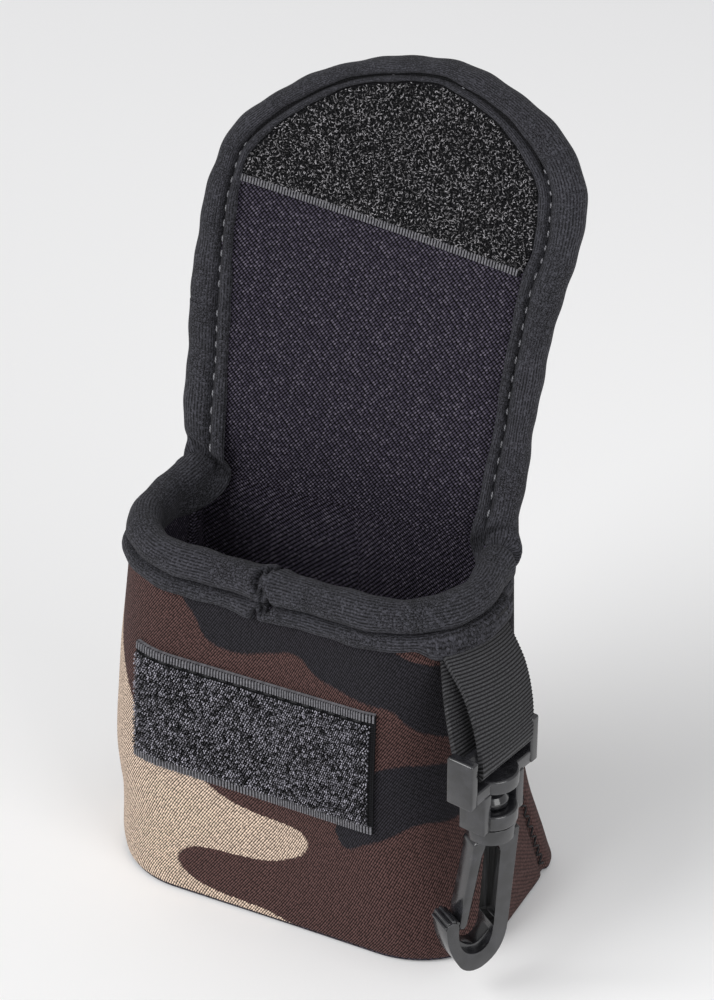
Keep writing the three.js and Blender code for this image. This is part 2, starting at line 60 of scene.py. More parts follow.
view_back = Vector((
    math.sin(VIEW_TURN) * math.cos(VIEW_RISE),
    -math.cos(VIEW_TURN) * math.cos(VIEW_RISE),
    math.sin(VIEW_RISE),
))
camera = bpy.data.objects.new("camera", bpy.data.cameras.new("camera"))
camera.data.sensor_width = SENSOR_WIDTH
camera.data.lens = LENS_LENGTH
camera.data.shift_x, camera.data.shift_y = LENS_SHIFT
camera.location = (VIEW_AIM + view_back * VIEW_DISTANCE) * MM
camera.rotation_euler = view_back.to_track_quat("Z", "Y").to_euler()
bpy.context.scene.collection.objects.link(camera)
bpy.context.scene.camera = camera

# Pouch wall
# A strip of 4 mm neoprene goes round the front and both sides, and meets a back panel and a
# bottom panel at sewn seams. The foam is soft, so the wall bows, leans to the left and draws
# in towards the mouth. Each face of the foam carries a fine printed or dyed jersey knit.
WALL = 4.0
LEFT_LINE = [
    (0, 40.8), (4, 41.4), (11, 41.1), (16, 41.1), (20, 41.6), (25, 42.0), (31, 41.8), (37, 41.3),
    (49, 40.3), (58, 39.2), (66, 38.3), (72, 37.8), (79, 36.0),
]
RIGHT_LINE = [
    (0, 39.8), (4, 40.0), (10, 39.2), (16, 38.2), (21, 37.3), (27, 36.5), (40, 36.0), (60, 35.6),
    (79, 34.4),
]
BACK_LINE = [
    (0, 23.5), (4, 21.8), (10, 19.8), (16, 18.2), (21, 17.2), (27, 16.3), (40, 15.0), (60, 13.9),
    (79, 13.5),
]
BACK_RIGHT_LINE = [(0, 39.8), (10, 38.8), (21, 36.6), (27, 35.6), (45, 33.4), (60, 32.5), (79, 31.7)]
FRONT_LINE = [(0, 24.3), (6, 24.4), (30, 24.5), (55, 24.2), (72, 23.8), (79, 23.4)]
BASE_HALF_WIDTH = 40.0
BASE_HALF_DEPTH = 23.5
FRONT_ROUND = 18.0
BACK_ROUND = 9.0
BACK_ROUND_AT_RIM, TAPERS_FROM = 4.0, 10
RIM = 79.0
WALL_TOP, TUCKED_TOP = 76.5, 71.4
BASE_ROUND, BASE_TUCK = 1.3, 0.8
FRONT_RUN = BASE_HALF_WIDTH - FRONT_ROUND
FRONT_TURN_RUN = FRONT_ROUND * math.pi / 2
SIDE_RUN = 2 * BASE_HALF_DEPTH - FRONT_ROUND - BACK_ROUND
BACK_TURN_RUN = BACK_ROUND * math.pi / 2
BACK_RUN = BASE_HALF_WIDTH - BACK_ROUND
HALF_ROUND = FRONT_RUN + FRONT_TURN_RUN + SIDE_RUN + BACK_TURN_RUN + BACK_RUN
SEAM_DIP, SEAM_WIDTH, SEAM_BEFORE_TURN = 0.8, 1.1, 1.5
SEAM_RUN = FRONT_RUN + FRONT_TURN_RUN + SIDE_RUN - SEAM_BEFORE_TURN
WALL_COLUMNS, WALL_ROWS = 240, 48
ROW_CROWDING = 1.35
# The wall is dark below the foot line: painted contact shadow along the floor.
FOOT_SHADE_LINE, FLOOR_INSET = 1.6, 4.0
TUCK_ENDS = (52, 60)
DRAWN_PRINT_RIGHT, DRAWN_PRINT_LEFT = (SEAM_RUN + 3, SEAM_RUN + 16), (44, 60)
CREASE_ANGLE = math.radians(55)


def smooth(low, high, value):
    """0 below low, 1 above high and an even ease between them"""
    t = min(max((value - low) / (high - low), 0.0), 1.0)
    return t * t * (3 - 2 * t)


def hump(away, width):
    """1 at the middle of a rise, falling to 0 about two widths away"""
    return math.exp(-(away / width) ** 2)


def line_at(points, height):
    """A drawn line's reach at a height, eased between its points"""
    height = min(max(height, points[0][0]), points[-1][0])
    i = min(bisect.bisect_right(points, (height, math.inf)), len(points) - 1) - 1
    slopes = []
    for k in (i, i + 1):
        low, high = points[max(k - 1, 0)], points[min(k + 1, len(points) - 1)]
        slopes.append((high[1] - low[1]) / (high[0] - low[0]))
    span = points[i + 1][0] - points[i][0]
    t = (height - points[i][0]) / span
    a, b = points[i][1], points[i + 1][1]
    ease = smooth(0, 1, t)
    swing = slopes[0] * t * (1 - t) ** 2 - slopes[1] * t * t * (1 - t)
    return a + (b - a) * ease + swing * span


def wall_outline(run, height):
    """The outer face at a distance round the wall from the front middle, positive to the right"""
    side = 1 if run >= 0 else -1
    half = line_at(RIGHT_LINE if run >= 0 else LEFT_LINE, height)
    front = -line_at(FRONT_LINE, height)
    back = line_at(BACK_LINE, height)
    back_half = line_at(BACK_RIGHT_LINE, height) if run >= 0 else half
    back_round = BACK_ROUND + (BACK_ROUND_AT_RIM - BACK_ROUND) * smooth(TAPERS_FROM, RIM, height)
    front_x = half - FRONT_ROUND
    left = abs(run)
    if left <= FRONT_RUN:
        x, y = front_x * left / FRONT_RUN, front
    elif left <= FRONT_RUN + FRONT_TURN_RUN:
        turn = (left - FRONT_RUN) / FRONT_ROUND
        x = front_x + FRONT_ROUND * math.sin(turn)
        y = front + FRONT_ROUND * (1 - math.cos(turn))
    elif left <= FRONT_RUN + FRONT_TURN_RUN + SIDE_RUN:
        share = (left - FRONT_RUN - FRONT_TURN_RUN) / SIDE_RUN
        x = half + (back_half - half) * smooth(0, 1, share)
        y = front + FRONT_ROUND + share * (back - back_round - front - FRONT_ROUND)
    elif left <= HALF_ROUND - BACK_RUN:
        turn = (left - FRONT_RUN - FRONT_TURN_RUN - SIDE_RUN) / BACK_ROUND
        x = back_half - back_round * (1 - math.cos(turn))
        y = back - back_round * (1 - math.sin(turn))
    else:
        x, y = (back_half - back_round) * (HALF_ROUND - left) / BACK_RUN, back
    foot = max(1 - height / BASE_ROUND, 0.0)
    tuck = BASE_ROUND * (1 - math.sqrt(max(1 - foot * foot, 0.0))) * BASE_TUCK
    out = Vector((side * x, y))
    out -= out.normalized() * tuck
    return Vector((out.x, out.y, height))


def wall_place(run, height, proud):
    """A point that stands proud of the wall's outer face, or inside it where proud is negative"""
    step = 0.2
    here = wall_outline(run, height)
    along = wall_outline(run + step, height) - wall_outline(run - step, height)
    up = wall_outline(run, height + step) - wall_outline(run, height - step)
    dip = SEAM_DIP * hump(abs(run) - SEAM_RUN, SEAM_WIDTH)
    return here + along.cross(up).normalized() * (proud - dip)


def wear(bm, place):
    """Keeps each point's place on the flat cut as its UV, in millimetres, and bends it into place"""
    cloth = bm.loops.layers.uv.new("cloth")
    for face in bm.faces:
        for loop in face.loops:
            loop[cloth].uv = loop.vert.co.xy
    for vert in bm.verts:
        vert.co = place(*vert.co)


def face_out(bm):
    """Turns every face of a mesh to the outside"""
    bmesh.ops.recalc_face_normals(bm, faces=bm.faces)


def finish_piece(bm, name, *materials):
    """Turns a finished mesh to metres and puts it in the scene as one smooth piece"""
    bmesh.ops.scale(bm, vec=(MM, MM, MM), verts=bm.verts)
    mesh = bpy.data.meshes.new(name)
    bm.to_mesh(mesh)
    bm.free()
    mesh.shade_smooth()
    mesh.set_sharp_from_angle(angle=CREASE_ANGLE)
    for finish in materials:
        mesh.materials.append(finish)
    made = bpy.data.objects.new(name, mesh)
    bpy.context.scene.collection.objects.link(made)
    return made


def srgb(code):
    """Linear colour of an sRGB hex code"""
    parts = [int(code[i:i + 2], 16) / 255 for i in (1, 3, 5)]
    return [c / 12.92 if c <= 0.04045 else ((c + 0.055) / 1.055) ** 2.4 for c in parts] + [1.0]


def add(tree, kind, sockets=None, **settings):
    """Adds a node with its settings, and sets or links its sockets"""
    made = tree.nodes.new(kind)
    for name, value in settings.items():
        setattr(made, name, value)
    for name, value in (sockets or {}).items():
        if isinstance(value, bpy.types.NodeSocket):
            tree.links.new(value, made.inputs[name])
        else:
            made.inputs[name].default_value = value
    return made


def new_finish(name, roughness, gloss=0.5, sheen=0.0):
    """An empty material, with its node tree and its shader"""
    finish = bpy.data.materials.new(name)
    finish.use_nodes = True
    shader = finish.node_tree.nodes["Principled BSDF"]
    shader.inputs["Roughness"].default_value = roughness
    shader.inputs["Specular IOR Level"].default_value = gloss
    shader.inputs["Sheen Weight"].default_value = sheen
    shader.inputs["Sheen Roughness"].default_value = 0.6
    return finish, finish.node_tree, shader


def reckon(tree, operation, first, second):
    """One sum on two numbers or sockets"""
    return add(tree, "ShaderNodeMath", {0: first, 1: second}, operation=operation).outputs["Value"]


def ranged(tree, value, low, high, to_low=0.0, to_high=1.0, ease="LINEAR"):
    """A value carried from one range to another, and held at both ends"""
    return add(tree, "ShaderNodeMapRange", {
        "Value": value, "From Min": low, "From Max": high, "To Min": to_low, "To Max": to_high,
    }, interpolation_type=ease).outputs["Result"]


def between(tree, share, low, high):
    """A number between two, at a given share"""
    return add(tree, "ShaderNodeMix", {"Factor": share, "A": low, "B": high}).outputs["Result"]


def tint(tree, share, low, high):
    """A colour between two, at a given share"""
    return add(tree, "ShaderNodeMix", {"Factor": share, 6: low, 7: high}, data_type="RGBA").outputs[2]


def on_cloth(tree, kind, scale, sockets, **settings):
    """A flat pattern on the cloth's own UV, which is in millimetres"""
    cloth = add(tree, "ShaderNodeUVMap", uv_map="cloth")
    return add(tree, kind, {"Vector": cloth.outputs["UV"], "Scale": scale, **sockets}, **settings)


def one_of(tree, colour, channel):
    """One channel of a pattern's random colour"""
    return add(tree, "ShaderNodeSeparateColor", {"Color": colour}).outputs[channel]


ONE_BAND = math.tau / 20
STITCH_EDGE = (0.08, -0.26)


def knit(tree, stitch, course, slant, looseness, gap=0.5, rib=0.0):
    """Jersey stitches on the cloth's own UV: 1 on the crown of a stitch and 0 between stitches"""
    cloth = add(tree, "ShaderNodeUVMap", uv_map="cloth")
    turned = add(tree, "ShaderNodeMapping", {
        "Vector": cloth.outputs["UV"],
        "Rotation": (0, 0, math.radians(slant)),
    })
    spaced = add(tree, "ShaderNodeMapping", {
        "Vector": turned.outputs["Vector"],
        "Scale": (1 / course, 1 / stitch, 1),
    })
    cells = add(tree, "ShaderNodeTexVoronoi", {
        "Vector": spaced.outputs["Vector"], "Scale": 1.0, "Randomness": looseness,
    }, voronoi_dimensions="2D")
    crown = ranged(
        tree, cells.outputs["Distance"], gap + STITCH_EDGE[0], gap + STITCH_EDGE[1], ease="SMOOTHSTEP",
    )
    rows = add(tree, "ShaderNodeTexWave", {
        "Vector": spaced.outputs["Vector"], "Scale": ONE_BAND,
        "Phase Offset": math.pi * (1 - looseness),
    }, bands_direction="X")
    return between(tree, rib, crown, rows.outputs["Fac"]), cells.outputs["Color"]


def dress(tree, shader, colour, height=None, depth=0.0, strength=0.7):
    """Gives a finish its colour, and a bump of a depth in millimetres"""
    tree.links.new(colour, shader.inputs["Base Color"])
    if height is not None:
        bump = add(tree, "ShaderNodeBump", {
            "Height": height, "Distance": depth * MM, "Strength": strength,
        })
        tree.links.new(bump.outputs["Normal"], shader.inputs["Normal"])


# Printed neoprene: a matt polyester jersey, whose stitches slant because the sheet is cut on
# the bias. The eye sees crisp three-colour blots under fine slanting rows of stitches, with dark
# pinholes between them. The stitches are drawn a little coarser than life.
PRINT_TAN, PRINT_TAN_GAP = srgb("#fae0ca"), srgb("#0b0704")
PRINT_BROWN, PRINT_BROWN_GAP = srgb("#664b48"), srgb("#040202")
PRINT_DARK, PRINT_DARK_GAP = srgb("#323036"), srgb("#08080a")
FACE_STITCH, FACE_COURSE, FACE_SLANT = 0.8, 0.43, 32
FACE_LOOSENESS, FACE_GAP, FACE_RIB = 0.34, 0.46, 0.52
FACE_SHADES, FACE_DEPTH = (0.82, 1.14), 0.16
EDGE_WOBBLE, WOBBLE_SCALE, INK_BLEED = 0.7, 1.6, 0.03
BLOT_SIZE, BLOT_STRETCH, BLOT_DETAIL = 34.0, 0.55, 0.6
SPOT_MIDDLE, SPOT_TURN, SPOT_REACH = (37, 71.5, 0), math.radians(-12), (11, 6, 1)
neoprene, tree, shader = new_finish("printed neoprene", roughness=0.92, gloss=0.1, sheen=0.03)
cloth = add(tree, "ShaderNodeUVMap", uv_map="cloth")
wobble = add(tree, "ShaderNodeTexNoise", {
    "Vector": cloth.outputs["UV"], "Scale": WOBBLE_SCALE, "Detail": 1.0,
}, noise_dimensions="2D")
spread = add(tree, "ShaderNodeVectorMath", {
    0: wobble.outputs["Color"], 1: (0.5, 0.5, 0.5),
}, operation="SUBTRACT")
ragged = add(tree, "ShaderNodeVectorMath", {
    0: spread.outputs["Vector"], 1: (EDGE_WOBBLE, EDGE_WOBBLE, 0.0), 2: cloth.outputs["UV"],
}, operation="MULTIPLY_ADD")
on_cut = add(tree, "ShaderNodeSeparateXYZ", {"Vector": ragged.outputs["Vector"]})
cut_run, cut_height = on_cut.outputs["X"], on_cut.outputs["Y"]


def print_edge(along, along_range, points, value_range, across):
    """How far a point lies beyond a drawn edge of the print, in units of ten millimetres"""
    (low, high), (least, most) = along_range, value_range
    edge = add(tree, "ShaderNodeFloatCurve", {"Value": ranged(tree, along, low, high)})
    drawn = edge.mapping.curves[0].points
    places = [((a - low) / (high - low), (b - least) / (most - least)) for a, b in points]
    drawn[0].location, drawn[1].location = places[0], places[-1]
    for place in places[1:-1]:
        drawn.new(*place)
    edge.mapping.update()
    at = ranged(tree, edge.outputs["Value"], 0, 1, least, most)
    return reckon(tree, "MULTIPLY", reckon(tree, "SUBTRACT", across, at), 0.1)


TAN_EDGE = [
    (0, 6), (2.6, -4), (2.9, -11.8), (5.5, -18.6), (8.6, -20.3), (11.8, -17.6), (13.2, -10.8),
    (13.8, -4), (16.3, 2.8), (19.1, 6.9), (21.8, 7.9), (23.6, 6.3), (24.4, 2.9), (24.8, -4),
    (26.2, -9.8), (28.2, -13.3), (34, -24), (48, -36), (62, -43), (80, -50),
]
UPPER_DARK_EDGE = [
    (-60, 80), (-24, 76), (-20.4, 68), (-18, 65.4), (-14.5, 60.8), (-8.5, 59.8), (-1, 61.8),
    (5.9, 63), (10.5, 59.9), (16.4, 58.2), (23.1, 56.8), (27.8, 56.2), (30.5, 53.5),
    (35.1, 50.9), (46, 49), (54, 56), (60, 60), (66, 54), (72, 50),
]
LOWER_DARK_FOOT = [
    (-60, 60), (10, 60), (15.5, 26), (17, 23.4), (22.2, 25.3), (27.2, 28), (32.8, 31.1),
    (39.7, 31.1), (46, 34), (52, 44), (60, 60),
]
LOWER_DARK_TOP = [
    (-60, 10), (10, 10), (15, 26), (18, 34), (23.8, 41.5), (27.6, 43.8), (35, 44.3), (43, 43),
    (50, 40), (55, 20), (60, 10),
]
tan_front = print_edge(cut_height, (0, 80), TAN_EDGE, (-60, 20), cut_run)
upper_dark = print_edge(cut_run, (-60, 72), UPPER_DARK_EDGE, (0, 90), cut_height)
lower_dark_foot = print_edge(cut_run, (-60, 60), LOWER_DARK_FOOT, (0, 90), cut_height)
lower_dark_top = print_edge(cut_run, (-60, 60), LOWER_DARK_TOP, (0, 90), cut_height)
lower_dark = reckon(tree, "MINIMUM", lower_dark_foot, reckon(tree, "MULTIPLY", lower_dark_top, -1.0))
spot_place = add(tree, "ShaderNodeMapping", {
    "Vector": ragged.outputs["Vector"], "Location": SPOT_MIDDLE, "Rotation": (0, 0, SPOT_TURN),
    "Scale": SPOT_REACH,
}, vector_type="TEXTURE")
spot_reach = add(tree, "ShaderNodeVectorMath", {0: spot_place.outputs["Vector"]}, operation="LENGTH")
outside_spot = reckon(tree, "SUBTRACT", spot_reach.outputs["Value"], 1.0)
dark_front = reckon(tree, "MAXIMUM", reckon(tree, "MINIMUM", upper_dark, outside_spot), lower_dark)
in_space = add(tree, "ShaderNodeTexCoord")
blot_space = add(tree, "ShaderNodeMapping", {
    "Vector": in_space.outputs["Object"], "Scale": (BLOT_STRETCH, BLOT_STRETCH, 1.0),
})
front = add(tree, "ShaderNodeAttribute", attribute_name="front")


def ink(drawn, seed, low, high, bleed):
    """Where one ink lies: inside its drawn edges at the front, and in loose blots on the other sides"""
    blots = add(tree, "ShaderNodeTexNoise", {
        "Vector": blot_space.outputs["Vector"], "Scale": 1 / (BLOT_SIZE * MM), "Detail": BLOT_DETAIL,
        "W": seed,
    }, noise_dimensions="4D")
    loose = ranged(tree, blots.outputs["Fac"], low, high, -1.0, 1.0)
    return ranged(tree, between(tree, front.outputs["Fac"], loose, drawn), -bleed, bleed)


tan_ink = ink(tan_front, seed=2.3, low=0.65, high=0.45, bleed=-INK_BLEED)
dark_ink = ink(dark_front, seed=7.9, low=0.42, high=0.62, bleed=INK_BLEED)
crown, stitch_tone = knit(
    tree, FACE_STITCH, FACE_COURSE, FACE_SLANT, FACE_LOOSENESS, FACE_GAP, FACE_RIB,
)
inks = []
for tan_tone, brown_tone, dark_tone in (
    (PRINT_TAN_GAP, PRINT_BROWN_GAP, PRINT_DARK_GAP),
    (PRINT_TAN, PRINT_BROWN, PRINT_DARK),
):
    inks.append(tint(tree, tan_ink, tint(tree, dark_ink, brown_tone, dark_tone), tan_tone))
shade = ranged(tree, one_of(tree, stitch_tone, "Red"), 0, 1, *FACE_SHADES)
toned = add(tree, "ShaderNodeVectorMath", {0: tint(tree, crown, *inks), 1: shade}, operation="MULTIPLY")
dress(tree, shader, toned.outputs["Vector"], crown, FACE_DEPTH)

# Dyed lining: the same knit on the foam's inner face, black with a violet cast. The eye sees short
# slanted strokes of lit thread in twill lines, with black between them, a little coarser than life.
LINING, LINING_GAP = srgb("#433e4c"), srgb("#020203")
LINING_GLINT = srgb("#67616f")
LINING_STITCH, LINING_COURSE, LINING_SLANT = 0.74, 0.48, 44
LINING_LOOSENESS, LINING_GAP_SHARE, LINING_DEPTH = 0.18, 0.44, 0.18
GLINT_RARITY = 3.0
lining, tree, shader = new_finish("dyed neoprene lining", roughness=0.9, gloss=0.12)
crown, stitch_tone = knit(
    tree, LINING_STITCH, LINING_COURSE, LINING_SLANT, LINING_LOOSENESS, LINING_GAP_SHARE,
)
glint = reckon(tree, "POWER", one_of(tree, stitch_tone, "Green"), GLINT_RARITY)
thread = tint(tree, glint, LINING, LINING_GLINT)
dress(tree, shader, tint(tree, crown, LINING_GAP, thread), crown, LINING_DEPTH)

bm = bmesh.new()
bmesh.ops.create_grid(bm, x_segments=WALL_COLUMNS, y_segments=WALL_ROWS, size=0.5)
in_front = bm.verts.layers.float.new("front")
for vert in bm.verts:
    run = vert.co.x * 2 * HALF_ROUND
    top = TUCKED_TOP + (WALL_TOP - TUCKED_TOP) * smooth(*TUCK_ENDS, abs(run))
    vert.co = (run, top * (vert.co.y + 0.5) ** ROW_CROWDING, 0)
    vert[in_front] = 1 - smooth(*(DRAWN_PRINT_RIGHT if run > 0 else DRAWN_PRINT_LEFT), abs(run))
wear(bm, wall_place)
bmesh.ops.remove_doubles(bm, verts=bm.verts, dist=0.01)
lowest = min(vert.co.z for vert in bm.verts)
foot_edges = [e for e in bm.edges if e.is_boundary and max(v.co.z for v in e.verts) < lowest + 0.01]
floor_face = bmesh.ops.contextual_create(bm, geom=foot_edges)["faces"]
bmesh.ops.inset_region(bm, faces=floor_face, thickness=FLOOR_INSET)
face_out(bm)
# The lowest band of the wall takes the black lining finish, as a painted contact shadow along the floor.
for face in bm.faces:
    face.material_index = int(max(vert.co.z for vert in face.verts) < FOOT_SHADE_LINE)
pouch = finish_piece(bm, "pouch_wall", neoprene, lining)
thick = pouch.modifiers.new("foam", "SOLIDIFY")
thick.thickness = WALL * MM
thick.offset = -1
thick.material_offset = 1
thick.material_offset_rim = 1
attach(pouch, "pouch")
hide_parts("front_side_wrap", "back_panel", "bottom_panel")

# Flap
# The back panel runs on up past the mouth as a flap with a rounded end, printed outside and
# lined inside. It is cut here across the middle of its bridge into two halves.
FOLD_Y, FOLD_Z = 11.5, 82.5
FLAP_LEAN = math.radians(12)
FOLD_EASE = 6.0
FLAP_SPLIT = 25.0
FLAP_LAP = 0.12
FLAP_TUCK = 2.0
FLAP_FOOT = WALL_TOP - FOLD_Z - FLAP_TUCK
FLAP_EDGE = [
    (-37.6, -6, 9.8), (-38.6, 9.6, 9.8), (-39.2, 29.5, 9.0), (-38.4, 42.3, 7.7), (-36.8, 51.3, 6.8),
    (-33.6, 59.5, 6.2), (-24.3, 68.4, 5.4), (-10.8, 75.8, 4.2), (4.5, 79.4, 4.2), (13.5, 78.8, 4.8),
    (24, 75.2, 6.2), (33, 68.8, 7.8), (37.2, 61, 8.0), (37.3, 50, 7.8), (35.1, 40.2, 7.4),
    (33.5, 26.5, 6.8), (32.7, 7.1, 6.6), (33.2, -6, 6.8),
]
EDGE_STEPS = 8
TAPE_ALLOWANCE = 1.3
SHEET_CELL = 2.5
FLAP_DISH, DISH_RISE, DISH_HALF_WIDTH = 1.6, (5, 40), 40
FLAP_REACH = 90
FOLD_ZONE, TONGUE_ZONE = (-6, 9), (36, 46)
PRESSED_THIN, PRESSED_BAND = 0.4, (0.45, 0.85)


def spline(points, steps, closed=False):
    """Points on a smooth line through the given ones"""
    count = len(points)
    made = []
    for i in range(count if closed else count - 1):
        a, b, c, d = (
            Vector(points[(i + k) % count] if closed else points[min(max(i + k, 0), count - 1)])
            for k in (-1, 0, 1, 2)
        )
        for k in range(steps):
            t = k / steps
            made.append(0.5 * (2 * b + (c - a) * t + (2 * a - 5 * b + 4 * c - d) * t * t
                               + (3 * b - a - 3 * c + d) * t ** 3))
    if not closed:
        made.append(Vector(points[-1]))
    return made


def flap_place(x, up, proud):
    """The flap's middle plane at a distance up from the fold, and proud of it to the front"""
    turn = FLAP_LEAN * min(max((up + FOLD_EASE) / (2 * FOLD_EASE), 0.0), 1.0)
    if up <= -FOLD_EASE:
        y, z = FOLD_Y, FOLD_Z + up
    elif up < FOLD_EASE:
        radius = FOLD_EASE / math.tan(FLAP_LEAN / 2)
        y = FOLD_Y + radius * (1 - math.cos(turn))
        z = FOLD_Z - FOLD_EASE + radius * math.sin(turn)
    else:
        y = FOLD_Y + up * math.sin(FLAP_LEAN)
        z = FOLD_Z + up * math.cos(FLAP_LEAN)
    proud -= FLAP_DISH * smooth(*DISH_RISE, up) * (1 - (x / DISH_HALF_WIDTH) ** 2)
    return Vector((x, y - proud * math.cos(turn), z + proud * math.sin(turn)))


def side_of(points, i):
    """The right-hand side of an open line at one of its points"""
    along = points[min(i + 1, len(points) - 1)] - points[max(i - 1, 0)]
    return Vector((along.y, -along.x)).normalized()


def inset_line(points, insets):
    """An open line moved to its right-hand side, by an inset for each of its points"""
    return [point + side_of(points, i) * inset for i, (point, inset) in enumerate(zip(points, insets))]


def only_verts(geom):
    """The points among the parts of a mesh"""
    return [part for part in geom if isinstance(part, bmesh.types.BMVert)]


def everything(bm):
    """All parts of a mesh"""
    return bm.verts[:] + bm.edges[:] + bm.faces[:]


def thicken(bm, depth):
    """Gives a flat mesh a thickness along a vector"""
    lifted = bmesh.ops.extrude_face_region(bm, geom=bm.faces[:])["geom"]
    bmesh.ops.translate(bm, vec=depth, verts=only_verts(lifted))


def corners_of(outline):
    """The lower left and the upper right corner of the box round a flat outline"""
    across, up = [p.x for p in outline], [p.y for p in outline]
    return Vector((min(across), min(up))), Vector((max(across), max(up)))


def cut_sheet(outline, back, face, cell):
    """A flat sheet cut to an outline, with an even grid of points and a given thickness"""
    bm = bmesh.new()
    corners = [bm.verts.new((p.x, p.y, back)) for p in outline]
    bmesh.ops.contextual_create(bm, geom=corners)
    low, high = corners_of(outline)
    for axis in (0, 1):
        for k in range(1, int((high[axis] - low[axis]) / cell) + 1):
            at, across = Vector((0, 0, 0)), Vector((0, 0, 0))
            at[axis], across[axis] = low[axis] + k * cell, 1
            bmesh.ops.bisect_plane(bm, geom=everything(bm), plane_co=at, plane_no=across)
    thicken(bm, (0, 0, face - back))
    face_out(bm)
    return bm


flap_line = spline([point[:2] for point in FLAP_EDGE], EDGE_STEPS)
lip_widths = [spot.x for spot in spline([(point[2], 0) for point in FLAP_EDGE], EDGE_STEPS)]
sheet_line = inset_line(flap_line, [TAPE_ALLOWANCE] * len(flap_line))


def flap_half(name, low, high):
    """One half of the flap between two distances up from the fold, pressed thin under its binding"""
    inside = [p for p in sheet_line if low < p.y < high]
    left = [p for p in inside if p.x < 0]
    right = [p for p in inside if p.x > 0]
    if high < sheet_line[len(sheet_line) // 2].y:
        outline = [Vector((left[0].x, low))] + left + [Vector((left[-1].x, high))]
        outline += [Vector((right[0].x, high))] + right + [Vector((right[-1].x, low))]
    else:
        outline = [Vector((left[0].x, low))] + inside + [Vector((right[-1].x, low))]
    bm = cut_sheet(outline, -WALL / 2 - FLAP_LAP, WALL / 2 + FLAP_LAP, SHEET_CELL)
    for face in bm.faces:
        face.material_index = 0 if face.normal.z < -0.5 else 1
    for vert in bm.verts:
        spot = vert.co.xy
        gap, width = min(((edge - spot).length, wide) for edge, wide in zip(flap_line, lip_widths))
        vert.co.z *= PRESSED_THIN + (1 - PRESSED_THIN) * smooth(*PRESSED_BAND, gap / width)
    wear(bm, flap_place)
    face_out(bm)
    made = finish_piece(bm, name, neoprene, lining)
    return made


FOLD_BEND = [flap_place(0, up, 0) * MM for up in FOLD_ZONE]
TONGUE_BEND = [flap_place(0, up, 0) * MM for up in TONGUE_ZONE]
flap_lower = flap_half("flap_bridge", FLAP_FOOT, FLAP_SPLIT)
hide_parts("flap_bridge_panel")
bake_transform(flap_lower)
flap_upper = flap_half("flap_tongue", FLAP_SPLIT, FLAP_REACH)
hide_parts("flap_tongue_panel")
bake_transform(flap_upper)

# Binding tape
# One strip of charcoal jersey tape is folded over the rim of the mouth and on round the edge of
# the flap, and sewn through both leaves. It rolls over the edge, dips at the stitches and ends
# in a thin lip. The tape is cut here on both sides of the flap, where nothing bends.
TAPE_STEP, JOIN_STEP = 0.6, 0.2
LIP_WIDTH = 8.3
RIM_LINE, RIM_BAND = 78.3, 9
MOUTH_SECTION = [
    (2.2, 9.0), (2.9, 8.8), (3.0, 7.5), (3.0, 5.5), (3.1, 3.8), (3.0, 2.2), (2.4, 0.9), (1.3, 0.2),
    (0, 0), (-1.4, 0.25), (-2.4, 1.0), (-3.1, 2.2), (-3.4, 3.9), (-3.1, 5.5), (-0.6, 6.0),
    (-2.7, 6.3), (-3.2, 7.0), (-3.3, 8.2), (-3.0, 9.2), (-2.0, 9.5),
]
FLAP_SECTION = [
    (2.0, 8.3), (2.9, 8.3), (3.5, 7.6), (3.4, 6.5), (1.2, 5.9), (3.3, 5.2), (3.6, 3.5), (2.9, 1.5),
    (1.6, 0.35), (0, 0), (-1.6, 0.35), (-2.9, 1.6), (-3.5, 3.6), (-3.2, 5.5), (-1.9, 6.2),
    (-3.1, 6.8), (-3.2, 7.3), (-3.1, 7.8), (-2.8, 8.3), (-2.1, 8.3),
]
MOUTH_GROOVE, FLAP_GROOVE = 14, 4
UP = Vector((0, 0, 1))
WEBBING_RUN = 44.5
LEFT_SADDLE = [
    ((-38.4, 11.9, 86.5), (-1, 0, 0.08), 0.97, 9.9),
    ((-37.5, 10.2, 81.4), (-0.95, 0.1, 0.3), 0.9, 10.4),
    ((-34.8, 7.2, 78.9), (-0.36, 0.06, 0.93), 0.5, 9.4),
]
RIGHT_SADDLE = [
    ((32.4, 7.2, 78.7), (0.36, 0.06, 0.93), 0.5, 8.4),
    ((32.6, 10.2, 81.2), (0.95, 0.1, 0.3), 0.9, 7.6),
    ((32.8, 11.9, 86.5), (1, 0, 0.08), 0.97, 7.2),
]
SADDLE_TOP = 13
SIDE_TURN, SIDE_STEPS = FRONT_RUN + FRONT_TURN_RUN + 7, 24
TAPE_STEPS = 6
JOIN_AT, JOIN_DEPTH, JOIN_WIDTH, JOIN_SWAY = -2.5, 2.5, 0.38, 1.6
JOIN_SWELLS = ((0.55, -1.2, 1.4), (0.3, 1.5, 1.2))
ROLL_START, ROLL_END, OUTER_LEAF = (4.5, 7), (12.5, 15), (14, 16)
LIFT_RISE, LIFT_HALF = 1.9, (7.6, 11)
CREASE_WIDTH, CREASE_SWELL = 0.6, 0.18
CREASE_BANK, BANK_WIDTH = 2.0, 1.0
SADDLE_FULLNESS = 3.6
FINE_REACH = 3.5
UNEVEN_WAVES = ((0.14, 17, 1, 0), (0.09, 7.3, 0, 0.4))


def flap_key(point):
    """A place on the tape at the flap's edge, its outward side, the section's share and the width"""
    i = min(range(len(flap_line)), key=lambda k: (flap_line[k] - point).length)
    beyond = point - side_of(flap_line, i)
    edge = flap_place(point.x, point.y, 0)
    return edge, (flap_place(beyond.x, beyond.y, 0) - edge).normalized(), 1.0, lip_widths[i]


def mouth_key(run):
    """A place on the tape at the mouth's rim"""
    rise = wall_outline(run, RIM) - wall_outline(run, RIM - RIM_BAND)
    return wall_place(run, RIM_LINE, -WALL / 2), rise.normalized(), 0.0, LIP_WIDTH


def runs_along(points):
    """The distance along a line to each of its points"""
    runs = [0.0]
    for here, there in zip(points, points[1:]):
        runs.append(runs[-1] + (Vector(there) - Vector(here)).length)
    return runs


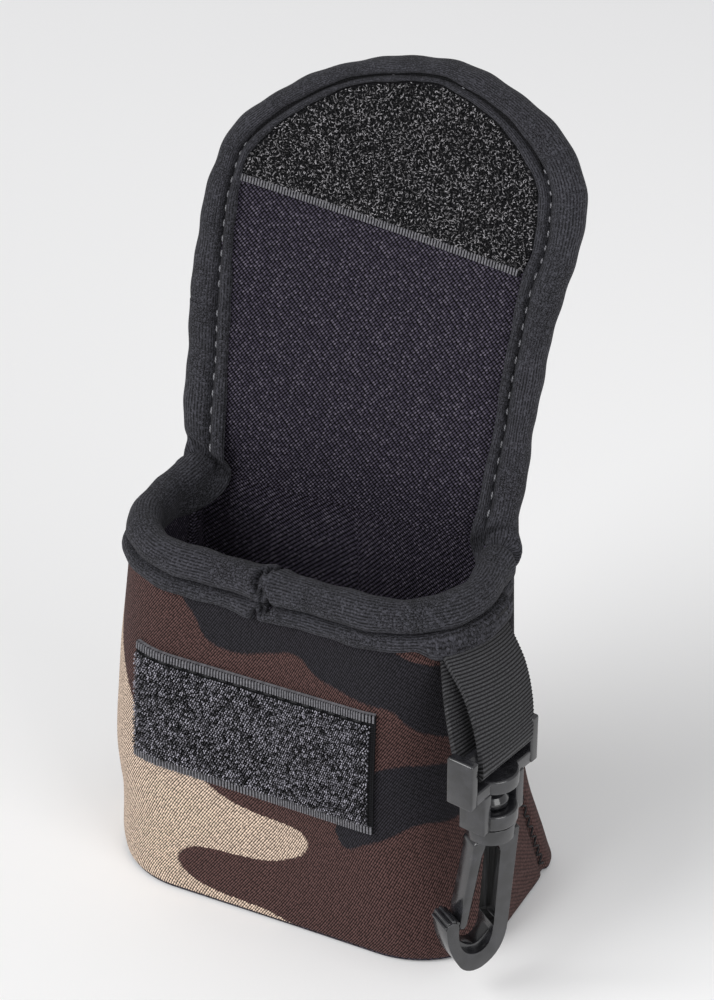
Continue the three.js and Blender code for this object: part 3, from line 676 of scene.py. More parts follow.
left_edge = [p for p in flap_line if p.x < 0 and SADDLE_TOP < p.y < FLAP_SPLIT]
right_edge = [p for p in flap_line if p.x > 0 and SADDLE_TOP < p.y < FLAP_SPLIT]
top_edge = [p for p in flap_line if p.y > FLAP_SPLIT]
mouth_runs = [SIDE_TURN * (k / SIDE_STEPS - 1) for k in range(2 * SIDE_STEPS + 1)]
tape_keys = [flap_key(p) for p in reversed(left_edge)] + LEFT_SADDLE
tape_keys += [mouth_key(run) for run in mouth_runs] + RIGHT_SADDLE
tape_keys += [flap_key(p) for p in reversed(right_edge)]
mouth_end = len(tape_keys)
tape_keys += [flap_key(p) for p in reversed(top_edge)]


def tape_stations():
    """The tape's line: place, outward side, and the share of the flap's section with its width"""
    line = spline([key[0] for key in tape_keys], TAPE_STEPS, closed=True)
    outs = spline([key[1] for key in tape_keys], TAPE_STEPS, closed=True)
    shares = spline([key[2:] for key in tape_keys], TAPE_STEPS, closed=True)
    runs = runs_along(line + line[:1])
    whole = runs[-1]
    split = runs[mouth_end * TAPE_STEPS]

    def at(run):
        """Place, outward side, and share with width, at a run along the tape"""
        run = run % whole
        low = bisect.bisect_right(runs, run) - 1
        t = (run - runs[low]) / (runs[low + 1] - runs[low])
        nxt = (low + 1) % len(line)
        return (
            line[low].lerp(line[nxt], t),
            outs[low].lerp(outs[nxt], t),
            shares[low].lerp(shares[nxt], t),
        )

    return at, split, whole


tape_at, tape_split, tape_whole = tape_stations()


@functools.lru_cache(maxsize=4096)
def tape_frame(run):
    """Place, inward side and outward side of the tape, its section there and the section's share"""
    place, out, share = tape_at(run)
    along = (tape_at(run + TAPE_STEP)[0] - tape_at(run - TAPE_STEP)[0]).normalized()
    out = out.normalized()
    section = [
        Vector(m).lerp(Vector((f[0], f[1] * share.y / LIP_WIDTH)), share.x)
        for m, f in zip(MOUTH_SECTION, FLAP_SECTION)
    ]
    return place, out.cross(along).normalized(), out, section, min(max(share.x, 0.0), 1.0)


def run_near(spot):
    """The run along the tape that comes closest to a point"""
    runs = (0.5 * k for k in range(int(tape_whole * 2)))
    return min(runs, key=lambda run: (tape_at(run)[0] - spot).length)


JOIN_RUN = run_near(mouth_key(JOIN_AT)[0])
LIFT_RUN = run_near(mouth_key(WEBBING_RUN)[0])
BUNCH_RUN = run_near(Vector((-34.9, 7.8, 79.4)))
CREASE_RUN = run_near(Vector((32.5, 6.0, 78.6)))
CREASES = ((BUNCH_RUN, 0.2, 1.5), (CREASE_RUN, 0.12, 2.4))


def tape_relief(run, across, share):
    """How far the tape stands proud: pinched at its join, lifted by the webbing, creased in its turns"""
    away = run - JOIN_RUN - JOIN_SWAY * math.cos((across - 6) * math.tau / 8)
    pinch = sum(rise * hump(away - place, width) for rise, place, width in JOIN_SWELLS)
    pinch -= JOIN_DEPTH * hump(away, JOIN_WIDTH)
    lift = LIFT_RISE * smooth(*OUTER_LEAF, across) * (1 - smooth(*LIFT_HALF, abs(run - LIFT_RUN)))
    creased = 0.0
    for seat, slope, depth in CREASES:
        fold = run - seat - slope * (across - 9)
        bank = CREASE_SWELL * hump(abs(fold) - CREASE_BANK, BANK_WIDTH)
        creased += depth * (bank - hump(fold, CREASE_WIDTH))
    on_roll = smooth(*ROLL_START, across) * (1 - smooth(*ROLL_END, across))
    full = creased * on_roll + SADDLE_FULLNESS * share * (1 - share) * (1 - on_roll)
    uneven = sum(
        rise * math.sin(math.tau * run / length + start + across * slant)
        for rise, length, start, slant in UNEVEN_WAVES
    )
    return pinch + lift + full + uneven


def tape_place(run, across, proud):
    """A point on the tape, given by its run along the edge and its place across the section"""
    place, inward, out, section, share = tape_frame(run)
    low = min(int(across), len(section) - 2)
    point = section[low].lerp(section[low + 1], across - low)
    along = section[min(low + 2, len(section) - 1)] - section[max(low - 1, 0)]
    side = Vector((-along.y, along.x)).normalized()
    point = point + side * (proud + tape_relief(run, across, share))
    return place + inward * point.x - out * point.y


mouth_across, flap_across = runs_along(MOUTH_SECTION), runs_along(FLAP_SECTION)

# Jersey tape: charcoal polyester with fine ribs along its length, worn in patches to a soft
# stipple.
JERSEY, JERSEY_GAP, JERSEY_WORN = srgb("#3f3f45"), srgb("#09090a"), srgb("#5a5a62")
RIB_PITCH, FUZZ_SCALE, PATCH_SCALE, JERSEY_DEPTH = 0.62, 3.4, 0.12, 0.15
jersey, tree, shader = new_finish("polyester jersey tape", roughness=0.88, gloss=0.15, sheen=0.03)
ribs = on_cloth(tree, "ShaderNodeTexWave", ONE_BAND / RIB_PITCH, {
    "Distortion": 1.2, "Detail": 1.0, "Detail Scale": 2.0,
}, bands_direction="Y")
fuzz = on_cloth(tree, "ShaderNodeTexVoronoi", FUZZ_SCALE, {"Randomness": 1.0}, voronoi_dimensions="2D")
patches = on_cloth(tree, "ShaderNodeTexNoise", PATCH_SCALE, {"Detail": 2.0}, noise_dimensions="2D")
ribbed = ranged(tree, patches.outputs["Fac"], 0.35, 0.65, 0.15, 0.75)
stipple = ranged(tree, fuzz.outputs["Distance"], 0.55, 0.1)
relief = between(tree, ribbed, stipple, ribs.outputs["Fac"])
flecked = ranged(tree, one_of(tree, fuzz.outputs["Color"], "Red"), 0.6, 1.0, 0.0, 0.45)
worn = tint(tree, flecked, tint(tree, relief, JERSEY_GAP, JERSEY), JERSEY_WORN)
dress(tree, shader, worn, relief, JERSEY_DEPTH)


def tape_piece(name, start, end):
    """The tape between two runs along its line, folded round the edge"""
    bm = bmesh.new()
    runs = [start]
    while runs[-1] < end:
        fine = min(abs(runs[-1] - spot) for spot in (JOIN_RUN, BUNCH_RUN, CREASE_RUN)) < FINE_REACH
        runs.append(runs[-1] + (JOIN_STEP if fine else TAPE_STEP))
    runs[-1] = end
    steps, across = len(runs) - 1, len(FLAP_SECTION) - 1
    bmesh.ops.create_grid(bm, x_segments=steps, y_segments=across, size=0.5)
    for vert in bm.verts:
        vert.co = (runs[round((vert.co.x + 0.5) * steps)], round((vert.co.y + 0.5) * across), 0)
    wear(bm, tape_place)
    cloth = bm.loops.layers.uv["cloth"]
    for face in bm.faces:
        for loop in face.loops:
            run, place = loop[cloth].uv.x, round(loop[cloth].uv.y)
            share = tape_frame(run)[4]
            loop[cloth].uv.y = mouth_across[place] + share * (flap_across[place] - mouth_across[place])
    bmesh.ops.reverse_faces(bm, faces=bm.faces)
    made = finish_piece(bm, name, jersey)
    soft = made.modifiers.new("roll", "SUBSURF")
    soft.levels = soft.render_levels = 1
    return made


mouth_tape = tape_piece("mouth_binding_tape", 0, tape_split)
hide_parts("mouth_binding", "flap_bridge_binding_right", "flap_bridge_binding_left")
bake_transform(mouth_tape)
flap_tape = tape_piece("flap_binding_tape", tape_split, tape_whole)
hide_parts("flap_tongue_binding")
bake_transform(flap_tape)

# Binding stitches
# Lockstitches go through both leaves of the tape along its grooves: pale grey thread inside the
# flap, and dark thread round the mouth. Each stitch is a short plump bead of twisted thread.
STITCH_STEP, STITCH_LENGTH, STITCH_WIDTH, STITCH_RISE = 3.1, 1.6, 0.45, 0.9
PLY_PITCH, PLY_DEPTH = 0.35, 0.06
SHARE_SLACK = 0.15


def sew(bm, start, end, width):
    """One stitch, drawn from a start to an end"""
    made = bmesh.ops.create_icosphere(bm, subdivisions=1, radius=1)["verts"]
    bmesh.ops.scale(bm, vec=((end - start).length / 2, width / 2, width / 2), verts=made)
    turn = (end - start).to_track_quat("X", "Z").to_matrix().to_4x4()
    bmesh.ops.transform(bm, matrix=Matrix.Translation((start + end) / 2) @ turn, verts=made)


def thread_finish(name, light, dark):
    """Twisted thread: the plies catch the light as fine slanted bands"""
    finish, tree, shader = new_finish(name, roughness=0.6, gloss=0.3)
    space = add(tree, "ShaderNodeTexCoord")
    plies = add(tree, "ShaderNodeTexWave", {
        "Vector": space.outputs["Object"], "Scale": ONE_BAND / (PLY_PITCH * MM), "Distortion": 1.5,
    }, bands_direction="DIAGONAL")
    dress(tree, shader, tint(tree, plies.outputs["Fac"], dark, light), plies.outputs["Fac"], PLY_DEPTH)
    return finish


pale_thread = thread_finish("pale polyester thread", srgb("#a3a3a8"), srgb("#6b6b70"))
dark_thread = thread_finish("dark polyester thread", srgb("#1d1d20"), srgb("#0d0d0f"))


def tape_stitches(name, start, end, groove, flap_share, finish):
    """Stitches along a groove of the tape, where the section is the flap's or the mouth's"""
    bm = bmesh.new()
    for k in range(int((end - start) / STITCH_STEP)):
        run = start + (k + 0.5) * STITCH_STEP
        if abs(tape_frame(run)[4] - flap_share) < SHARE_SLACK:
            ends = [tape_place(run + half * STITCH_LENGTH, groove, STITCH_RISE) for half in (-0.5, 0.5)]
            sew(bm, *ends, STITCH_WIDTH)
    made = finish_piece(bm, name, finish)
    return made


mouth_stitches = tape_stitches("mouth_stitches", 0, tape_split, MOUTH_GROOVE, 0, dark_thread)
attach(mouth_stitches, "pouch")
bridge_stitches = tape_stitches("flap_bridge_stitches", 0, tape_split, FLAP_GROOVE, 1, pale_thread)
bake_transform(bridge_stitches)
tongue_stitches = tape_stitches("flap_tongue_stitches", tape_split, tape_whole, FLAP_GROOVE, 1, pale_thread)
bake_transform(tongue_stitches)

# Back seams
# The wrap and the back panel meet edge to edge at both back corners, and a zigzag of thick black
# thread pulls them together into a shallow dip.
ZIGZAG_STEP, ZIGZAG_REACH, ZIGZAG_WIDTH, ZIGZAG_PROUD = 1.3, 1.3, 0.5, 0.15
ZIGZAG_FOOT, ZIGZAG_LENGTH = 3, 58
bm = bmesh.new()
for side in (-1, 1):
    for k in range(int(ZIGZAG_LENGTH / ZIGZAG_STEP)):
        swing = 1 if k % 2 else -1
        height = ZIGZAG_FOOT + k * ZIGZAG_STEP
        start = wall_place(side * SEAM_RUN - swing * ZIGZAG_REACH, height, ZIGZAG_PROUD)
        end = wall_place(side * SEAM_RUN + swing * ZIGZAG_REACH, height + ZIGZAG_STEP, ZIGZAG_PROUD)
        sew(bm, start, end, ZIGZAG_WIDTH)
seam_stitches = finish_piece(bm, "back_seam_stitches", dark_thread)
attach(seam_stitches, "pouch")

# Hook tape
# A woven nylon tape is sewn flat to the front, and its field stands full of small stiff hooks.
# Both long edges are plain ribbed selvedges. The hooks stand a little further apart than life.
HOOK_TAPE_FLAT = (54.6, 26.2)
HOOK_TAPE_CORNERS = ((-28.6, 29.5), (24.4, 28.9), (-30.0, 55.3), (25.2, 55.4))
HOOK_TAPE_BACK, HOOK_TAPE_FACE, HOOK_TAPE_CELL = 0.1, 0.75, 2.6
HOOK_SELVEDGE, HOOK_RIB = 1.6, 0.62
HOOK_LINE = [(-0.14, 0), (-0.13, 0.4), (-0.02, 0.68), (0.14, 0.72), (0.22, 0.52)]
HOOK_WIDTH, HOOK_DEPTH, HOOK_STEP, HOOK_HEIGHT = 0.17, 0.13, 0.53, 0.8
HOOK_TURN_CHANCE, HOOK_DRIFT, HOOK_STRETCH = 0.45, 0.08, 0.12
FIELD_INSET, FIELD_MARGIN, FIBRE_SINK, FIBRE_SLOPE = 0.35, 0.3, 0.05, 0.4
RIB_FULLNESS = 0.52
HOOK_RIB_SINK, HOOK_RIB_RISE, HOOK_RIB_MARGIN = 0.1, 0.42, 0.05
SEWN_INSET, SEWN_LEFT, SEWN_RIGHT = HOOK_SELVEDGE + 0.25, 2.4, 2.6
SEWN_PROUD, SEWN_WIDTH, SEWN_ENDS = 0.25, 0.6, (0.12, 0.88)
TIP_HIGHLIGHT_RISE = (0.25, 1.0)


def hook_tape_place(x, y, proud):
    """A point on the hook tape's flat cut, laid on the wall between the four corners"""
    width, height = HOOK_TAPE_FLAT
    low_left, low_right, high_left, high_right = (Vector(corner) for corner in HOOK_TAPE_CORNERS)
    spot = low_left.lerp(low_right, x / width).lerp(high_left.lerp(high_right, x / width), y / height)
    return wall_place(spot.x, spot.y, proud)


def fibre(line, width, depth):
    """One stiff fibre: a narrow strip bent along a line and given a thickness"""
    bm = bmesh.new()
    bmesh.ops.create_grid(bm, x_segments=1, y_segments=len(line) - 1, size=0.5)
    for vert in bm.verts:
        reach, rise = line[round((vert.co.y + 0.5) * (len(line) - 1))]
        vert.co = (vert.co.x * width, reach, rise)
    thicken(bm, (0, depth, depth * FIBRE_SLOPE))
    face_out(bm)
    return bm


def sow(bm, columns, rows, step):
    """Repeats a fibre along a row, and the row over a field, every second row half a step on"""
    one = everything(bm)
    for k in range(1, columns):
        made = bmesh.ops.duplicate(bm, geom=one)["geom"]
        bmesh.ops.translate(bm, vec=(k * step, 0, 0), verts=only_verts(made))
    row = everything(bm)
    for k in range(1, rows):
        made = bmesh.ops.duplicate(bm, geom=row)["geom"]
        bmesh.ops.translate(bm, vec=(k % 2 * step / 2, k * step, 0), verts=only_verts(made))


def ruffle(bm, size, chance, turn, drift, stretch):
    """Turns, shifts and stretches each fibre of a field by its own small amount"""
    bm.verts.ensure_lookup_table()
    for start in range(0, len(bm.verts), size):
        strand = bm.verts[start:start + size]
        foot = sum((vert.co for vert in strand), Vector()) / size
        foot.z = 0
        spin = Matrix.Rotation(chance.uniform(-turn, turn), 3, "Z")
        spin = spin * chance.uniform(1 - stretch, 1 + stretch)
        moved = foot + Vector((chance.uniform(-drift, drift), chance.uniform(-drift, drift), 0))
        for vert in strand:
            vert.co = moved + spin @ (vert.co - foot)


def rib_row(bm, length, low, high, step, base, rise):
    """Raised threads side by side across a selvedge"""
    for k in range(int(length / step)):
        made = bmesh.ops.create_cube(bm, size=1)["verts"]
        bmesh.ops.scale(bm, vec=(step * RIB_FULLNESS, high - low, rise), verts=made)
        bmesh.ops.translate(bm, vec=((k + 0.5) * step, (low + high) / 2, base + rise / 2), verts=made)


# Woven ground: dull black nylon in a fine plain weave that shows between the hooks.
GROUND, GROUND_GAP = srgb("#1a1a1d"), srgb("#0a0a0b")
GROUND_YARN, GROUND_DEPTH = 0.5, 0.1
ground, tree, shader = new_finish("woven nylon ground", roughness=0.85, gloss=0.15)
crown, stitch_tone = knit(tree, GROUND_YARN, GROUND_YARN, slant=0, looseness=0.1)
dress(tree, shader, tint(tree, crown, GROUND_GAP, GROUND), crown, GROUND_DEPTH)


def fibre_finish(name, roughness, gloss, step, scatter, rarity, foot, tone):
    """Single nylon fibres, each with a brightness of its own, painted dark at the foot as shade and lighter
    towards the tip as a highlight
    """
    finish, tree, shader = new_finish(name, roughness, gloss)
    strands = on_cloth(tree, "ShaderNodeTexVoronoi", 1 / step, {
        "Randomness": scatter,
    }, voronoi_dimensions="2D")
    tip = add(tree, "ShaderNodeAttribute", attribute_name="tip")
    lit = reckon(tree, "POWER", one_of(tree, strands.outputs["Color"], "Red"), rarity)
    dress(tree, shader, tint(tree, reckon(tree, "MULTIPLY", lit, tip.outputs["Fac"]), foot, tone))
    return finish


# Nylon hooks: stiff, slightly clear monofilament. The eye sees a grey glitter over black, and each hook
# is painted dark at its foot as shade and grey towards its tip as a highlight.
HOOK_TONE, HOOK_FOOT_SHADE = srgb("#c6c4d0"), srgb("#08080a")
hook_nylon = fibre_finish(
    "nylon monofilament hooks", roughness=0.42, gloss=0.5, step=HOOK_STEP, scatter=0.9, rarity=1.5,
    foot=HOOK_FOOT_SHADE, tone=HOOK_TONE,
)

# Selvedge: a smooth ribbed edge of grey-black nylon, mottled paler and darker.
SELVEDGE, SELVEDGE_GAP = srgb("#88878c"), srgb("#3a3a3e")
SELVEDGE_WEAR, SELVEDGE_DEPTH = 1.7, 0.08
selvedge, tree, shader = new_finish("nylon selvedge", roughness=0.7, gloss=0.3)
worn = on_cloth(tree, "ShaderNodeTexNoise", SELVEDGE_WEAR, {"Detail": 3.0}, noise_dimensions="2D")
worn = worn.outputs["Fac"]
dress(tree, shader, tint(tree, worn, SELVEDGE_GAP, SELVEDGE), worn, SELVEDGE_DEPTH)


def mark_tips(bm, height):
    """Keeps how far up its fibre each point is, before the field is laid in place, as the share for the
    painted shade at the foot and the painted highlight at the tip
    """
    tips = bm.verts.layers.float.new("tip")
    for vert in bm.verts:
        vert[tips] = smooth(*TIP_HIGHLIGHT_RISE, vert.co.z / height)


width, height = HOOK_TAPE_FLAT
outline = [Vector(corner) for corner in ((0, 0), (0, height), (width, height), (width, 0))]
bm = cut_sheet(outline, HOOK_TAPE_BACK, HOOK_TAPE_FACE, HOOK_TAPE_CELL)
for face in bm.faces:
    face.material_index = 1 if abs(face.normal.y) > 0.5 else 0
wear(bm, hook_tape_place)
face_out(bm)
hook_tape = finish_piece(bm, "hook_tape", ground, selvedge)
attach(hook_tape, "pouch")
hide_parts("hook_tape_patch")

bm = fibre(HOOK_LINE, HOOK_WIDTH, HOOK_DEPTH)
strand_size = len(bm.verts)
field = (width - 2 * FIELD_INSET, height - 2 * HOOK_SELVEDGE - FIELD_MARGIN)
sow(bm, int(field[0] / HOOK_STEP), int(field[1] / HOOK_STEP), HOOK_STEP)
ruffle(bm, strand_size, random.Random(4), HOOK_TURN_CHANCE, HOOK_DRIFT, HOOK_STRETCH)
bmesh.ops.translate(bm, vec=(FIELD_INSET, HOOK_SELVEDGE + FIELD_INSET, 0), verts=bm.verts)
mark_tips(bm, HOOK_HEIGHT)
wear(bm, lambda x, y, rise: hook_tape_place(x, y, HOOK_TAPE_FACE - FIBRE_SINK + rise))
hooks = finish_piece(bm, "hook_tape_hooks", hook_nylon)
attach(hooks, "pouch")

bm = bmesh.new()
for low in (HOOK_RIB_MARGIN, height - HOOK_SELVEDGE):
    high = low + HOOK_SELVEDGE - HOOK_RIB_MARGIN
    rib_row(bm, width, low, high, HOOK_RIB, HOOK_TAPE_FACE - HOOK_RIB_SINK, HOOK_RIB_RISE)
wear(bm, hook_tape_place)
hook_selvedge = finish_piece(bm, "hook_tape_selvedges", selvedge)
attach(hook_selvedge, "pouch")

bm = bmesh.new()
low, high = Vector((SEWN_INSET, SEWN_INSET)), Vector((width - SEWN_INSET, height - SEWN_INSET))
for start, end in (
    ((low.x, low.y), (high.x, low.y)), ((low.x, high.y), (high.x, high.y)),
    ((SEWN_LEFT, low.y), (SEWN_LEFT, high.y)), ((width - SEWN_RIGHT, low.y), (width - SEWN_RIGHT, high.y)),
):
    start, end = Vector(start), Vector(end)
    stitches = round((end - start).length / STITCH_STEP)
    for k in range(stitches):
        ends = [start.lerp(end, (k + part) / stitches) for part in SEWN_ENDS]
        sew(bm, *(hook_tape_place(*spot, HOOK_TAPE_FACE + SEWN_PROUD) for spot in ends), SEWN_WIDTH)
hook_tape_stitches = finish_piece(bm, "hook_tape_stitches", dark_thread)
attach(hook_tape_stitches, "pouch")

# Loop tape
# The mating tape, cut to the rounded end of the flap, lies inside it with its curved edge caught
# under the binding. Soft nylon loops cover it down to one straight ribbed selvedge.
LOOP_EDGE = [
    (27.2, 43.9), (29.3, 50), (30.6, 56), (29.6, 63.4), (25.2, 70), (18.6, 74.4), (10.2, 76.9),
    (0, 77.4), (-10.1, 74.6), (-18.1, 70.1), (-24.9, 63.9), (-29.5, 57.1), (-31.3, 50.2),
]
LOOP_BACK, LOOP_FACE = WALL / 2 - 0.1, WALL / 2 + 0.45
LOOP_SELVEDGE, LOOP_RIB = 1.35, 0.58
LOOP_LINE = [(-0.26, 0), (-0.12, 0.5), (0.16, 0.46)]
LOOP_WIDTH, LOOP_DEPTH, LOOP_STEP, LOOP_HEIGHT = 0.12, 0.1, 0.44, 0.5
LOOP_DRIFT, LOOP_STRETCH = 0.28, 0.35
LOOP_RIB_SINK, LOOP_RIB_RISE = 0.1, 0.32
PILE_MARGIN = 0.3
loop_outline = spline(LOOP_EDGE, 5)
selvedge_start, selvedge_end = loop_outline[-1], loop_outline[0]
selvedge_along = (selvedge_end - selvedge_start).normalized()
selvedge_up = Vector((-selvedge_along.y, selvedge_along.x))


def inside(spot, outline):
    """Whether a flat point lies inside an outline"""
    hits = 0
    for a, b in zip(outline, outline[1:] + outline[:1]):
        if (a.y > spot.y) != (b.y > spot.y):
            hits += spot.x < a.x + (spot.y - a.y) / (b.y - a.y) * (b.x - a.x)
    return hits % 2 == 1


pile_outline = inset_line(flap_line, [width + PILE_MARGIN for width in lip_widths])

# Loop pile: fine crimped nylon, black with grey where single fibres catch the light, and each loop
# is painted dark at its foot as shade and grey towards its top as a highlight.
LOOP_TONE, LOOP_FOOT_SHADE = srgb("#9d9b9e"), srgb("#060607")
loop_nylon = fibre_finish(
    "nylon loop pile", roughness=0.75, gloss=0.2, step=LOOP_STEP, scatter=1.0, rarity=1.7,
    foot=LOOP_FOOT_SHADE, tone=LOOP_TONE,
)

bm = cut_sheet(loop_outline, LOOP_BACK, LOOP_FACE, SHEET_CELL)
wear(bm, flap_place)
face_out(bm)
loop_tape = finish_piece(bm, "loop_tape", ground)
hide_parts("loop_tape_patch")
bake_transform(loop_tape)

bm = fibre(LOOP_LINE, LOOP_WIDTH, LOOP_DEPTH)
strand_size = len(bm.verts)
low, high = corners_of(loop_outline)
sow(bm, int((high.x - low.x) / LOOP_STEP), int((high.y - low.y) / LOOP_STEP), LOOP_STEP)
ruffle(bm, strand_size, random.Random(9), math.pi, LOOP_DRIFT, LOOP_STRETCH)
bmesh.ops.translate(bm, vec=(low.x, low.y, 0), verts=bm.verts)
bm.verts.ensure_lookup_table()
stray = []
for start in range(0, len(bm.verts), strand_size):
    strand = bm.verts[start:start + strand_size]
    spot = sum((vert.co.xy for vert in strand), Vector((0, 0))) / strand_size
    if (spot - selvedge_start).dot(selvedge_up) < LOOP_SELVEDGE or not inside(spot, pile_outline):
        stray += strand
bmesh.ops.delete(bm, geom=stray, context="VERTS")
mark_tips(bm, LOOP_HEIGHT)
wear(bm, lambda x, up, rise: flap_place(x, up, LOOP_FACE - FIBRE_SINK + rise))
loops = finish_piece(bm, "loop_tape_pile", loop_nylon)
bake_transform(loops)

bm = bmesh.new()
selvedge_length = (selvedge_end - selvedge_start).length
rib_row(bm, selvedge_length, 0, LOOP_SELVEDGE, LOOP_RIB, LOOP_FACE - LOOP_RIB_SINK, LOOP_RIB_RISE)
selvedge_turn = Matrix.Rotation(math.atan2(selvedge_along.y, selvedge_along.x), 4, "Z")
bmesh.ops.transform(bm, matrix=Matrix.Translation(selvedge_start.to_3d()) @ selvedge_turn, verts=bm.verts)
wear(bm, flap_place)
loop_selvedge = finish_piece(bm, "loop_tape_selvedge", selvedge)
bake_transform(loop_selvedge)

# Webbing loop
# A strip of ribbed black nylon webbing goes round the bar of the swivel eye, and both ends are
# sewn under the binding at the right front corner. The outer leaf bows away from the inner one.
BAR_MIDDLE = Vector((43.908, -23.561, 55.5))
BAR_TURN = math.radians(80)
BAR_ALONG = Vector((math.cos(BAR_TURN), math.sin(BAR_TURN), 0))
BAR_OUT = Vector((math.sin(BAR_TURN), -math.cos(BAR_TURN), 0))
WEBBING_WIDTH, WEBBING_THICK = 15.4, 1.1
WEBBING_RIB, WEBBING_RIB_RISE = 0.68, 0.1
WEBBING_COLUMNS, ROWS_TO_A_RIB = 14, 5
BAR_WRAP = 2.75
INNER_END, INNER_ROOT, OUTER_ROOT, OUTER_END = (71.6, 0.75), (68.0, 0.9), (68.6, 2.1), (71.8, 1.9)
INNER_BOW, OUTER_BOW = 0.5, 2.0
DIAGONAL, LINE_STEPS, LINE_SLACK = 0.71, 10, 0.004
BOW_PLACES = ((0.33, 0.9), (0.68, 1.0))


def webbing_line(across):
    """The line that one thread of the webbing follows from its inner end to its outer end"""
    bar = BAR_MIDDLE + BAR_ALONG * across
    run = WEBBING_RUN + across
    inner_end, inner_root, outer_root, outer_end = (
        wall_place(run, *spot) for spot in (INNER_END, INNER_ROOT, OUTER_ROOT, OUTER_END)
    )
    inner_bar, outer_bar = bar - BAR_OUT * BAR_WRAP, bar + BAR_OUT * BAR_WRAP
    points = [inner_end, inner_root, inner_root.lerp(inner_bar, 0.5) - BAR_OUT * INNER_BOW, inner_bar]
    points.append(bar - (BAR_OUT + UP) * DIAGONAL * BAR_WRAP)
    points.append(bar - UP * BAR_WRAP)
    points.append(bar + (BAR_OUT - UP) * DIAGONAL * BAR_WRAP)
    points.append(outer_bar)
    for share, bow in BOW_PLACES:
        points.append(outer_bar.lerp(outer_root, share) + BAR_OUT * OUTER_BOW * bow)
    points += [outer_root, outer_end]
    return spline(points, LINE_STEPS)


def measured(line):
    """A line with the distance along it to each of its points"""
    return line, runs_along(line)


def along_line(measured_line, share):
    """A place on a measured line at a share of its length"""
    line, runs = measured_line
    at = min(max(share, 0.0), 1.0) * runs[-1]
    low = min(bisect.bisect_right(runs, at) - 1, len(line) - 2)
    return line[low].lerp(line[low + 1], (at - runs[low]) / (runs[low + 1] - runs[low]))


# Ribbed webbing: black nylon, each rib a bundle of fine weft with mottled yarns; the crest of each rib is
# painted paler as a highlight and the groove between ribs is painted near black as shade.
WEBBING, WEBBING_SHADED_GAP = srgb("#626265"), srgb("#020203")
YARN_SCALE, YARN_DEPTH = 3.2, 0.06
nylon_rib, tree, shader = new_finish("ribbed nylon webbing", roughness=0.62, gloss=0.25)
ribs = on_cloth(tree, "ShaderNodeTexWave", ONE_BAND / WEBBING_RIB, {
    "Phase Offset": math.pi,
}, bands_direction="Y")
yarns = on_cloth(tree, "ShaderNodeTexNoise", YARN_SCALE, {"Detail": 3.0}, noise_dimensions="2D")
yarns = yarns.outputs["Fac"]
# The crest share gives the ribs their painted highlight and the grooves their painted shade.
crest = reckon(tree, "MULTIPLY", ribs.outputs["Fac"], yarns)
dress(tree, shader, tint(tree, crest, WEBBING_SHADED_GAP, WEBBING), yarns, YARN_DEPTH)

webbing_length = measured(webbing_line(0))[1][-1]
rib_count = round(webbing_length / WEBBING_RIB)
columns = [
    measured(webbing_line(WEBBING_WIDTH * (k / WEBBING_COLUMNS - 0.5))) for k in range(WEBBING_COLUMNS + 1)
]


def webbing_place(across, along, proud):
    """A point on the webbing, given by its place across the strip and along it"""
    column = round((across / WEBBING_WIDTH + 0.5) * WEBBING_COLUMNS)
    share = along / webbing_length
    here = along_line(columns[column], share)
    ahead, behind = (along_line(columns[column], share + slack) for slack in (LINE_SLACK, -LINE_SLACK))
    beside = along_line(columns[min(column + 1, WEBBING_COLUMNS)], share)
    sideways = beside - along_line(columns[max(column - 1, 0)], share)
    rib = WEBBING_RIB_RISE * -math.cos(math.tau * along / webbing_length * rib_count)
    out = (ahead - behind).cross(sideways).normalized()
    picot = rib * ((column == WEBBING_COLUMNS) - (column == 0))
    return here + out * (proud + math.copysign(rib, proud)) + sideways.normalized() * picot


bm = bmesh.new()
bmesh.ops.create_grid(bm, x_segments=WEBBING_COLUMNS, y_segments=rib_count * ROWS_TO_A_RIB, size=0.5)
for vert in bm.verts:
    vert.co = (vert.co.x * WEBBING_WIDTH, (vert.co.y + 0.5) * webbing_length, -WEBBING_THICK / 2)
thicken(bm, (0, 0, WEBBING_THICK))
wear(bm, webbing_place)
face_out(bm)
webbing = finish_piece(bm, "webbing_strip", nylon_rib)
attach(webbing, "webbing")
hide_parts("webbing_loop")

# Swivel eye
# A moulded acetal frame: a bar between two ears carries the webbing, and below them a yoke ends
# in the ring that the hook's pin turns in. All its edges are softly rounded.
EAR_INNER, EAR_OUTER, EAR_TOP, EAR_FOOT = 8.3, 10.4, 2.4, -7.4
EYE_HALF = 2.8
BAR_RADIUS, BAR_LAP = 1.8, 0.5
BRIDGE_TOP, BRIDGE_FOOT = -4.6, -7.4
YOKE_INNER, YOKE_OUTER, YOKE_FOOT = 3.9, 6.3, -15.4
RING_RADIUS, RING_BORE, RING_TOP = 4.9, 2.0, -12.2
YOKE_LAP, BRIDGE_LAP, BRIDGE_INSET = 0.6, 0.5, 0.2
EDGE_ROUND, EDGE_SEGMENTS, SHARP_FROM, ROUND_STEPS = 0.45, 3, 0.5, 40

